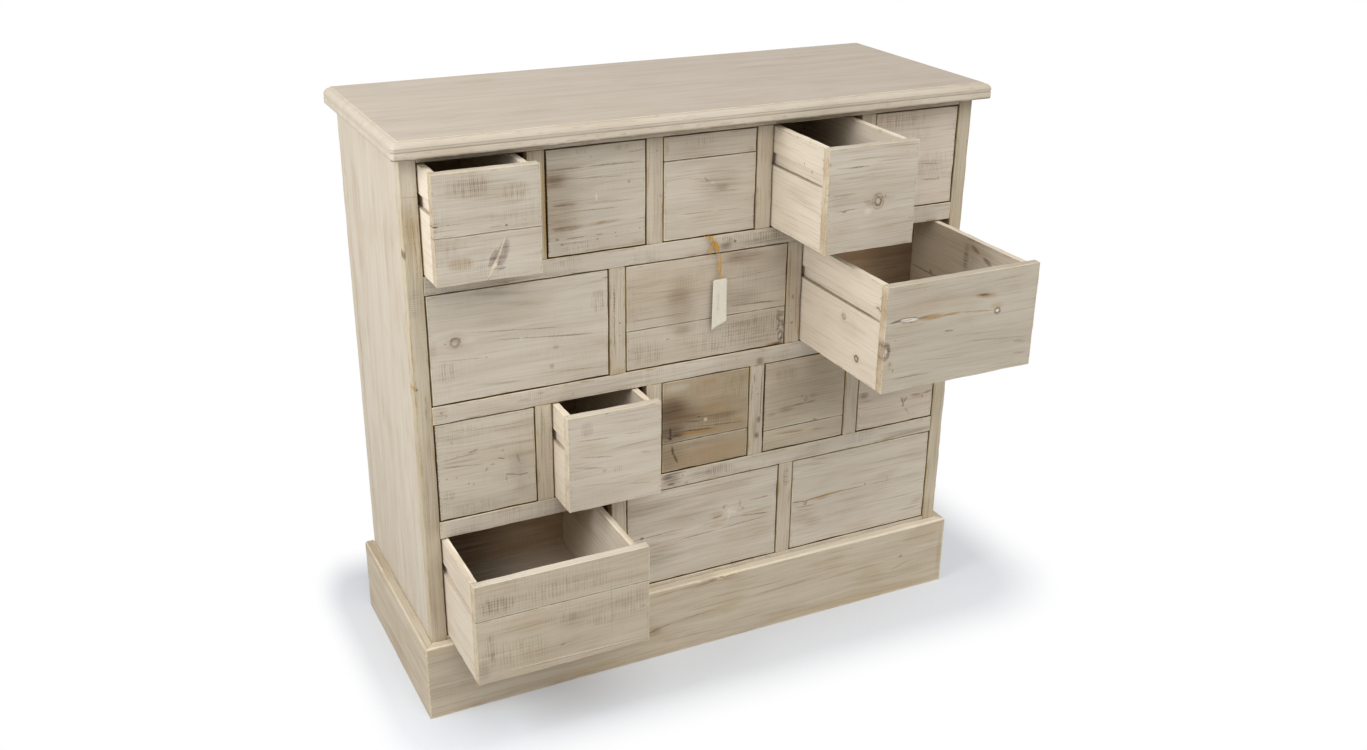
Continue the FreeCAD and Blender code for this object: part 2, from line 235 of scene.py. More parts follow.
class Shader:
    """Writes the nodes of one material, or of the world."""

    def __init__(self, owner):
        self.owner = owner
        owner.use_nodes = True
        self.tree = owner.node_tree
        self.tree.nodes.clear()

    def add(self, kind, settings=None, inputs=None, output=0):
        """A node of any kind: its settings come first, then the values or links of its sockets."""
        node = self.tree.nodes.new("ShaderNode" + kind)
        for name, value in (settings or {}).items():
            setattr(node, name, value)
        for name, value in (inputs or {}).items():
            if isinstance(value, Wire):
                self.tree.links.new(value.socket, node.inputs[name])
            else:
                node.inputs[name].default_value = value
        return Wire(self, node.outputs[output]) if node.outputs else None

    def math(self, operation, *values):
        return self.add("Math", {"operation": operation}, dict(enumerate(values)))

    def vector(self, operation, *values):
        return self.add("VectorMath", {"operation": operation}, dict(enumerate(values)))

    def stretch(self, place, *factors):
        """The place multiplied by a factor along each axis."""
        return self.vector("MULTIPLY", place, factors)

    def join(self, x=0.0, y=0.0, z=0.0):
        return self.add("CombineXYZ", None, {"X": x, "Y": y, "Z": z})

    def split(self, place):
        node = self.add("SeparateXYZ", None, {"Vector": place}).socket.node
        return [Wire(self, output) for output in node.outputs]

    def on_object(self):
        """A point's place in the object's own coordinates."""
        return self.add("TexCoord", output=3)

    def attribute(self, name, output):
        return self.add("Attribute", {"attribute_name": name}, output=output)

    def rise(self, value, low, high, first=0.0, last=1.0):
        """The first number below low, the last above high and a smooth change between them."""
        inputs = {"Value": value, "From Min": low, "From Max": high, "To Min": first, "To Max": last}
        return self.add("MapRange", {"interpolation_type": "SMOOTHSTEP"}, inputs)

    def noise(self, place, scale=1.0, detail=2.0, roughness=0.5, output=0):
        inputs = {"Vector": place, "Scale": scale, "Detail": detail, "Roughness": roughness}
        return self.add("TexNoise", None, inputs, output)

    def mix(self, factor, first, second):
        """A mix of two colours."""
        inputs = {0: factor}
        for slot, value in ((6, first), (7, second)):
            inputs[slot] = value if isinstance(value, Wire) else (*value, 1.0)
        return self.add("Mix", {"data_type": "RGBA"}, inputs, output=2)

    def bump(self, height, distance, strength=1.0):
        return self.add("Bump", None, {"Height": height, "Distance": distance, "Strength": strength})

    def seen(self):
        """1 for what the camera sees, straight or in gloss or glass, and 0 for light on other surfaces."""
        rays = self.add("LightPath").socket.node.outputs
        seen = Wire(self, rays["Is Camera Ray"])
        for ray in ("Is Glossy Ray", "Is Transmission Ray"):
            seen = self.math("MAXIMUM", seen, Wire(self, rays[ray]))
        return seen

    def principled(self, base, roughness, normal, specular=0.3):
        inputs = {
            "Base Color": base, "Roughness": roughness, "Specular IOR Level": specular, "Normal": normal,
        }
        self.add("OutputMaterial", None, {"Surface": self.add("BsdfPrincipled", None, inputs)})
        return self.owner


# Marks on the wood. Places and sizes are millimetres from a piece's left end and upper edge.


@dataclass
class Mark:
    """A tilted ellipse. A blunt one keeps its width to its ends."""

    right: float
    down: float
    wide: float
    high: float

    tilt = 0
    blunt = False


@dataclass
class Stain(Mark):
    """A smear, streak or crack that the grain breaks up."""

    tint: str
    strength: float
    streaked: float = 0.5
    soft: float = 0.8
    tilt: float = 0
    blunt: bool = False
    where: str = ""

    def paint(self, wood, paint):
        body = wood.rise(wood.ellipse(self), 1 - self.soft * 0.8, 1.2, self.strength, 0)
        broken = wood.math("MULTIPLY_ADD", wood.grain, self.streaked, 1 - self.streaked)
        if self.where:
            broken = broken * wood.side(self.where)
        return wood.mix(body * broken, paint, getattr(finish(), self.tint))


def cloud(*numbers, where=""):
    """A stain that fades out softly."""
    return Stain(*numbers, soft=1.0, where=where)


def streak(from_right, from_down, to_right, to_down, high, tint, strength, streaked=0.5, soft=0.8, where=""):
    """A stain from one place to another. A narrow one keeps its width to its ends."""
    right, down = to_right - from_right, to_down - from_down
    middle = ((from_right + to_right) / 2, (from_down + to_down) / 2)
    tilt = math.degrees(math.atan2(-down, right))
    narrow = high < 4
    return Stain(*middle, math.hypot(right, down), high, tint, strength, streaked, soft, tilt, narrow, where)


def wisp(*numbers, where=""):
    """A streak that fades out softly."""
    return streak(*numbers, soft=1.0, where=where)


def hole(right, down, size=1.6):
    """A nail hole."""
    return Stain(right, down, size, size, "knot", 0.75, streaked=0, soft=0.625)


@dataclass
class Chatter(Mark):
    """A patch of saw marks across the grain."""

    pitch: float
    strength: float
    tint: str = "thin"

    blunt = True

    def paint(self, wood, paint):
        body = wood.rise(wood.ellipse(self), 0.45, 1.0, self.strength, 0)
        broken = wood.math("MULTIPLY_ADD", wood.grain, 0.5, 0.5)
        return wood.mix(body * wood.saw_lines(self.pitch) * broken, paint, getattr(finish(), self.tint))


@dataclass
class Knot(Mark):
    """A round or oval knot that the grain flows round."""

    core: str
    strength: float
    ring: float
    halo: float
    tilt: float = 0
    outer: float = 0

    # How strongly the grain is drawn in, and how far out, as a share of the knot's larger half
    draw = 0.85
    draw_reach = 1.9

    # Where the knot's parts begin and end, as shares of its half width and height
    core_end = (0.7, 1.0)
    halo_end = (0.8, 2.4)
    rim_start = (0.5, 0.8)
    rim_end = (0.92, 1.25)
    outer_start = (1.5, 1.75)
    outer_end = (1.8, 2.1)

    def pull(self, wood):
        """How far the grain is drawn towards the middle of the knot."""
        reach = max(self.wide, self.high) / 2 * self.draw_reach * MM
        right = wood.plain_right - self.right * MM
        down = wood.plain_down - self.down * MM
        weight = wood.math("EXPONENT", (right * right + down * down) * (-1 / reach**2)) * self.draw
        return wood.along_grain(right * weight, down * weight)

    def paint(self, wood, paint):
        colours = finish()
        distance = wood.ellipse(self) + (wood.blots - 0.5) * 0.85
        halo = wood.rise(distance, *self.halo_end, self.halo, 0)
        core = wood.rise(distance, *self.core_end, self.strength, 0)
        rim = wood.rise(distance, *self.rim_start) * wood.rise(distance, *self.rim_end, self.ring, 0)
        outer = wood.rise(distance, *self.outer_start) * wood.rise(distance, *self.outer_end, self.outer, 0)
        rings = wood.math("SINE", distance * 14.0) * 0.5 + 0.5
        broken = wood.rise(wood.blots * 0.6 + wood.lines * 0.4, 0.38, 0.56)
        paint = wood.mix(halo * (0.4 + 0.6 * wood.grain), paint, colours.thin)
        paint = wood.mix(core, paint, getattr(colours, self.core))
        paint = wood.mix(core * rings * 0.4, paint, colours.knot)
        paint = wood.mix(outer * broken, paint, colours.knot)
        return wood.mix(rim * broken, paint, colours.knot)


@dataclass
class Joint:
    """The dark line where two planks meet, across a whole front. Its place is in metres."""

    down: float
    strength: float

    def paint(self, wood, paint):
        wander = (wood.bands - 0.5) * (0.3 * MM)
        distance = abs(wood.plain_down - self.down + wander)
        groove = wood.rise(distance, 0.7 * MM, 1.5 * MM, self.strength, 0)
        pale = wood.rise(abs(distance - 2 * MM), 0.3 * MM, 0.9 * MM, 0.3, 0)
        paint = wood.mix(pale, paint, finish().pale)
        return wood.mix(groove * (0.5 + 0.5 * wood.rise(wood.blots, 0.3, 0.6)), paint, finish().grime)


class Pine(Shader):
    """Limewashed pine. Its boards carry their own coordinates; a plain frame node takes the object's."""

    # How often each pattern repeats in a metre along the grain and across it, its detail and its roughness
    patterns = {
        "streaks": (3.2, 46, 4.0, 0.6),
        "lines": (9, 430, 3.0, 0.62),
        "hairs": (7, 820, 2.0, 0.55),
        "bands": (2.4, 75, 3.0, 0.55),
        "patches": (9, 17, 2.0, 0.5),
        "blots": (60, 90, 3.0, 0.6),
        "flecks": (150, 620, 2.0, 0.5),
        "sawn": (13, 19, 2.0, 0.5),
        "uneven": (38, 150, 3.0, 0.6),
        "broad": (14, 40, 2.0, 0.5),
    }

    # How far the outlines of marks are frayed sideways and up and down, in metres, and how finely
    ragged = (0.0032, 0.0022)
    ragged_scale = 420.0

    def __init__(self, name, axes, node=None, plain=False):
        super().__init__(bpy.data.materials.new(name))
        self.axes = axes
        texture = self.on_object()
        x, y, z = self.split(texture)
        object_axes = {"x": x, "y": y, "z": z}
        level = "y" if axes[2] == "x" else "x"
        low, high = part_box(node) if node else (Vector(), Vector())
        self.plain_right = object_axes[level] - getattr(low, level)
        self.plain_down = high.z - z
        self.from_middle = abs(x - (low.x + high.x) / 2)
        self.half_width = (high.x - low.x) / 2
        cloudy = self.noise(texture, self.ragged_scale, detail=1.0, output=1)
        fray = self.split(self.vector("SUBTRACT", cloudy, (0.5, 0.5, 0.5)))
        self.spot = self.join(
            self.plain_right + fray[0] * self.ragged[0], self.plain_down + fray[1] * self.ragged[1]
        )
        self.boards = not plain
        if plain:
            self.place = self.join(*(object_axes[axis] for axis in axes))
        else:
            self.place = self.attribute("wood_place", 1)

    def ellipse(self, mark):
        """0 at the centre of a mark's tilted ellipse and 1 on its edge."""
        place = self.add("Mapping", {"vector_type": "TEXTURE"}, {
            "Vector": self.spot,
            "Location": (mark.right * MM, mark.down * MM, 0),
            "Rotation": (0, 0, -math.radians(mark.tilt)),
            "Scale": (mark.wide / 2 * MM, mark.high / 2 * MM, 1),
        })
        if mark.blunt:
            along, across, _ = self.split(place)
            place = self.join(along * along, across)
        return self.add("VectorMath", {"operation": "LENGTH"}, {0: place}, output=1)

    def side(self, where):
        """Whether a point is on the outside of a drawer's box, or inside it."""
        groove = sizes().groove_depth + 1.5 * MM
        outside = self.rise(self.from_middle, self.half_width - groove - 0.5 * MM, self.half_width - groove)
        return outside if where == "outside" else 1 - outside

    def along_grain(self, right, down):
        """A step to the right and down as a step along the grain, across it and through it."""
        if self.axes[0] == "z":
            return self.join(down * -1, right)
        return self.join(right, down * -1)

    def lay_grain(self, marks):
        """The patterns that the wood and its marks share. The grain bends, and flows round the knots."""
        place = self.place
        for mark in marks:
            if isinstance(mark, Knot):
                place = self.vector("SUBTRACT", place, mark.pull(self))
        if self.boards:
            place = self.vector("ADD", place, self.attribute("wood_seed", 1))
        bend = self.noise(self.stretch(place, 5, 11, 11), detail=1.0) - 0.5
        self.shifted = self.vector("ADD", place, self.join(0.0, bend * 0.012))
        for name, (along, across, detail, roughness) in self.patterns.items():
            stretched = self.stretch(self.shifted, along, across, across)
            setattr(self, name, self.noise(stretched, detail=detail, roughness=roughness))
        self.grain = self.rise(self.lines, 0.38, 0.62)

    def saw_lines(self, pitch):
        """Uneven lines across the grain, about so many millimetres apart."""
        along = self.split(self.shifted)[0]
        wander = self.noise(self.stretch(self.shifted, 22, 14, 14), detail=1.0) - 0.5
        wave = self.math("SINE", (along + wander * 0.006) * (math.tau / (pitch * MM))) * 0.5 + 0.5
        uneven = self.noise(self.stretch(self.shifted, 1 / (pitch * MM), 30, 30), detail=2.0, roughness=0.6)
        return self.rise(wave * 0.3 + uneven, 0.48, 0.95)

    def wood(self, marks=(), wash=None, shade=None, streaks=0.6, lines=0.34, hairs=0.36, bands=0.5, saw=0.4,
             specks=0.6, rub=0.7, bare=0.35, grime=0.5, end=0.8, warmth=0.15, gap=0, gap_side=0,
             rub_width=1.7, pitch=3.2, rubbed=None):
        """The finished material: washed wood, saw marks, specks, edges and then the piece's own marks."""
        colours = finish()
        self.lay_grain(marks)
        # Each layer's pattern, where that starts and is full, the layer's strength and its colour
        layers = (
            (self.streaks, 0.28, 0.75, streaks, shade or colours.shade),
            (self.patches, 0.48, 0.72, warmth, colours.warm),
            (self.lines, 0.5, 0.74, lines, colours.line),
            (self.hairs, 0.6, 0.72, hairs, colours.thin),
        )
        paint = wash or colours.wash
        for pattern, start, full, strength, tint in layers:
            paint = self.mix(self.rise(pattern, start, full) * strength, paint, tint)
        thin = self.rise(self.bands, 0.53, 0.7) * self.rise(self.patches, 0.42, 0.62)
        grained = 0.45 + 0.55 * self.rise(self.lines, 0.36, 0.6)
        paint = self.mix(thin * grained * bands, paint, colours.thin)
        patchy = (0.3 + 0.7 * self.rise(self.lines, 0.35, 0.65)) * self.rise(self.sawn, 0.4, 0.66)
        saw_marks = self.saw_lines(pitch) * patchy
        paint = self.mix(saw_marks * saw, paint, colours.smoke)
        among = self.rise(self.blots * 0.5 + self.patches * 0.5, 0.5, 0.6)
        flecked = self.rise(self.flecks, 0.68, 0.76) * among
        paint = self.mix(flecked * specks, paint, colours.knot)
        if self.boards:
            paint = self.edges(paint, rub, bare, grime, end, rub_width, rubbed or colours.cream)
            # Faces inside the gaps of the frame are darkened: unwashed wood there, and painted shade.
            if gap:
                paint = self.mix(self.gap_mask(gap_side) * gap, paint, colours.gap)
        for mark in marks:
            paint = mark.paint(self, paint)
        height = self.lines * -0.5 + saw_marks * (-1.2 * saw) + thin * -0.3
        roughness = 0.58 + 0.22 * self.lines
        return self.principled(paint, roughness, self.bump(height, 0.00035, 0.8))

    def gap_mask(self, side):
        """Where a frame board faces into a gap: behind its front face, on both sides or only on one. There
        the gap colour is painted, as unwashed wood and as painted shade.
        """
        half = self.split(self.attribute("wood_half", 1))
        _, across, through = self.split(self.place)
        deep = self.rise(through + half[2], 1.0 * MM, 2.8 * MM)
        if side:
            deep = deep * self.rise(across * side, -1 * MM, 1 * MM)
        return deep

    def edge_distance(self):
        """How far a point on a board's surface is from the nearest arris, and from the ends."""
        half = self.split(self.attribute("wood_half", 1))
        inside = [size - abs(position) for size, position in zip(half, self.split(self.place))]
        least = self.math("MINIMUM", self.math("MINIMUM", inside[0], inside[1]), inside[2])
        most = self.math("MAXIMUM", self.math("MAXIMUM", inside[0], inside[1]), inside[2])
        return inside[0] + inside[1] + inside[2] - least - most, inside[0]

    def edges(self, paint, rub, bare, grime, end, rub_width, pale):
        """Rubbed arrises, dirt beside them, the darkening given at each point and the end grain."""
        colours = finish()
        edge, from_end = self.edge_distance()
        ends = (1 - self.rise(from_end, 0.4 * MM, 1.2 * MM)) * end
        rings = self.rise(self.noise(self.stretch(self.shifted, 40, 60, 900), detail=2.0), 0.42, 0.7)
        cut = self.mix(rings * 0.35 + self.rise(self.broad, 0.5, 0.7) * 0.4, colours.end, colours.warm)
        paint = self.mix(ends, paint, cut)
        # The darkening given at each point is painted shade in the top board's crease and at the foot of its
        # field, and darkens its lower edge.
        dirt = self.attribute("wood_dirt", 2) * self.rise(self.uneven, 0.3, 0.52)
        dirty = self.rise(self.uneven, 0.5, 0.68) * (1 - self.rise(edge, 0.8 * MM, 5.5 * MM))
        paint = self.mix(self.math("MAXIMUM", dirty * grime, dirt), paint, colours.thin)
        width = rub_width * MM
        worn = self.attribute("wood_worn", 2) * self.rise(self.uneven, 0.28, 0.45)
        rubbed = 1 - self.rise(edge + (0.5 - self.uneven) * (2.1 * width), 0.3 * width, width)
        rubbed_paint = self.mix(self.rise(self.broad, 0.45, 0.62) * bare, pale, colours.gold)
        return self.mix(self.math("MAXIMUM", rubbed, worn) * rub, paint, rubbed_paint)


# Boards


class Board:
    """One plank: its box, how its grain runs and how its edges are worn."""

    def __init__(self, low, high, axes, key, arris=None, wear=None, profile=None, rounding=None, cuts="xyz",
                 finish_number=0):
        self.low = Vector(low)
        self.high = Vector(high)
        self.middle = (self.low + self.high) / 2
        self.half = (self.high - self.low) / 2
        self.axes = axes
        self.arris = sizes().arris if arris is None else arris
        self.wear = sizes().wear if wear is None else wear
        self.profile = profile
        self.rounding = rounding
        self.cuts = cuts
        self.finish_number = finish_number
        draw = random.Random(key)
        self.seed = Vector([draw.uniform(0, 40) for _ in "xyz"])

    def blank(self):
        """The sawn board: a profile drawn out along one axis."""
        low, high = self.low, self.high
        box = [(low.x, low.y), (high.x, low.y), (high.x, high.y), (low.x, high.y)]
        axis, outline = self.profile or (2, box)
        shape = bmesh.new()

        def corner(point, level):
            place = list(point)
            place.insert(axis, level)
            return shape.verts.new(place)

        first = [corner(point, low[axis]) for point in outline]
        last = [corner(point, high[axis]) for point in outline]
        shape.faces.new(first)
        shape.faces.new(last)
        for n in range(len(outline)):
            following = (n + 1) % len(outline)
            shape.faces.new((first[n], first[following], last[following], last[n]))
        bmesh.ops.recalc_face_normals(shape, faces=shape.faces)
        return shape

    def cut(self, shape):
        """Points along the edges, so that they can be worn unevenly."""
        for axis, name in enumerate("xyz"):
            size = self.high[axis] - self.low[axis]
            count = round(size / sizes().cell)
            if name not in self.cuts or count < 2:
                continue
            for n in range(1, count):
                place = Vector(self.low)
                place[axis] += size * n / count
                direction = Vector()
                direction[axis] = 1
                geometry = shape.verts[:] + shape.edges[:] + shape.faces[:]
                bmesh.ops.bisect_plane(shape, geom=geometry, plane_co=place, plane_no=direction)

    def ease(self, shape):
        """Round the chosen arrises with their own larger radius, and then all the sharp ones."""
        sharp = 0.6

        def round_off(radius, segments, chosen=lambda edge: True):
            edges = [
                edge for edge in shape.edges
                if edge.is_manifold and edge.is_convex and edge.calc_face_angle() > sharp and chosen(edge)
            ]
            bmesh.ops.bevel(shape, geom=edges, offset=radius, segments=segments, profile=0.5, affect="EDGES",
                            clamp_overlap=True)

        if self.rounding:
            radius, chosen = self.rounding
            round_off(radius, 4, chosen)
        round_off(self.arris, 2)

    def worn(self, place):
        """The place moved in towards the board where its nearest arris is worn."""
        offset = place - self.middle
        inside = sorted((self.half[axis] - abs(offset[axis]), axis) for axis in range(3))
        reach = 3 * MM
        if inside[1][0] > reach:
            return place
        coarse = noise.noise(place * 24 + self.seed)
        fine = noise.noise(place * 110 + self.seed)
        bite = self.wear * max(0.0, 0.35 + 0.9 * coarse + 0.5 * fine) * (1 - inside[1][0] / reach)
        moved = Vector(place)
        for _, axis in inside[:2]:
            moved[axis] -= math.copysign(min(bite, self.half[axis] * 0.5), offset[axis])
        return moved

    def mesh_parts(self):
        """Points, faces and each point's place along, across and through the board."""
        shape = self.blank()
        self.cut(shape)
        self.ease(shape)
        shape.verts.index_update()
        points = [self.worn(vertex.co.copy()) for vertex in shape.verts]
        faces = [[vertex.index for vertex in face.verts] for face in shape.faces]
        shape.free()
        order = ["xyz".index(axis) for axis in self.axes]
        places = [[(point - self.middle)[axis] for axis in order] for point in points]
        half = [self.half[axis] for axis in order]
        return points, faces, places, half


class Piece:
    """Collects boards or loose faces into one mesh object."""

    def __init__(self, name):
        self.name = name
        self.points = []
        self.faces = []
        self.places = []
        self.halves = []
        self.seeds = []
        self.worn = []
        self.dirt = []
        self.finish_numbers = []

    def add(self, points, faces, places, half, seed, worn=None, dirt=None, finish_number=0):
        start = len(self.points)
        self.finish_numbers += [finish_number] * len(faces)
        self.points += points
        self.faces += [[start + index for index in face] for face in faces]
        self.places += places
        self.halves += [half] * len(points)
        self.seeds += [seed] * len(points)
        self.worn += worn or [0.0] * len(points)
        self.dirt += dirt or [0.0] * len(points)

    def add_board(self, board):
        self.add(*board.mesh_parts(), board.seed, finish_number=board.finish_number)

    def build(self, *materials, smooth_angle=50):
        mesh = bpy.data.meshes.new(self.name)
        mesh.from_pydata(self.points, [], self.faces)
        for name, values in (("place", self.places), ("half", self.halves), ("seed", self.seeds)):
            layer = mesh.attributes.new("wood_" + name, "FLOAT_VECTOR", "POINT")
            layer.data.foreach_set("vector", [number for value in values for number in value])
        for name, values in (("worn", self.worn), ("dirt", self.dirt)):
            layer = mesh.attributes.new("wood_" + name, "FLOAT", "POINT")
            layer.data.foreach_set("value", values)
        mesh.shade_smooth()
        mesh.set_sharp_from_angle(angle=math.radians(smooth_angle))
        for material in materials:
            mesh.materials.append(material)
        mesh.polygons.foreach_set("material_index", self.finish_numbers)
        piece = bpy.data.objects.new(self.name, mesh)
        bpy.context.scene.collection.objects.link(piece)
        weighted = piece.modifiers.new("Weighted normals", "WEIGHTED_NORMAL")
        weighted.keep_sharp = True
        return piece


def body_of(node):
    for body, members in frame["record"]["behaviour"]["bodies"].items():
        if node in members:
            return body
    raise RuntimeError(f"no body holds {node}")


def stand_for(piece, node):
    """The piece replaces the node and moves with its body."""
    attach(piece, body_of(node))
    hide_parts(node)
    return piece


def dress(node, slot, boards, *materials):
    """One piece of these boards in place of a frame node."""
    piece = Piece(node + "_timber")
    for board in boards:
        piece.add_board(board)
    return stand_for(piece.build(*materials), node)


def repaint(node, material):
    """A frame node that keeps its own shape and gets a better finish."""
    materials = frame["nodes"][node].data.materials
    materials.clear()
    materials.append(material)


# What is different about each piece

# Fronts of two planks: where their joint lies, as a share of the height from the top, and how dark it is
FRONT_JOINTS = {
    (1, 1): (0.565, 0.45),
    (1, 3): (0.23, 0.75),
    (2, 2): (0.618, 0.6),
    (3, 3): (0.68, 0.75),
    (3, 4): (0.765, 0.65),
    (4, 1): (0.355, 0.5),
}

# How each front differs from the usual wood
FRONT_LOOKS = {
    (1, 1): {"saw": 0.35, "bands": 0.2, "pitch": 2.8},
    (1, 2): {"saw": 0.2, "bands": 0.4},
    (1, 3): {"saw": 0.08, "bands": 0.25},
    (1, 4): {"saw": 0.08, "bands": 0.3},
    # The paler wash is partly painted light that lifts the shadow of the open drawer beside it.
    (1, 5): {"saw": 0.4, "bands": 0.1, "wash": srgb(220, 206, 189), "shade": srgb(204, 190, 173)},
    (2, 1): {"saw": 0.15, "bands": 0.08, "streaks": 0.5, "lines": 0.25, "hairs": 0.25},
    (2, 2): {
        "saw": 0.3, "bands": 0.3, "pitch": 4.6, "wash": srgb(200, 188, 170), "shade": srgb(178, 164, 144),
    },
    (2, 3): {"saw": 0.06, "bands": 0.25, "wash": srgb(196, 186, 169), "shade": srgb(173, 161, 142)},
    (3, 1): {"saw": 0.2, "bands": 0.3, "specks": 1.0, "wash": srgb(200, 190, 172)},
    (3, 2): {"saw": 0.1, "bands": 0.12, "streaks": 0.55},
    (3, 3): {
        "saw": 0.3, "bands": 0.4, "warmth": 0.3, "wash": srgb(176, 160, 134), "shade": srgb(152, 134, 106),
    },
    # The darker wash is partly painted shadow of the open drawer above this front.
    (3, 4): {"saw": 0.12, "bands": 0.35, "wash": srgb(196, 183, 162), "shade": srgb(170, 156, 134)},
    (3, 5): {"saw": 0.12, "bands": 0.25, "wash": srgb(210, 196, 178)},
    (4, 1): {
        "saw": 0.2, "bands": 0.2, "pitch": 5.4, "wash": srgb(192, 180, 160), "shade": srgb(170, 156, 135),
    },
    (4, 2): {"saw": 0.06, "bands": 0.3, "streaks": 0.7},
    (4, 3): {"saw": 0.06, "bands": 0.2},
}

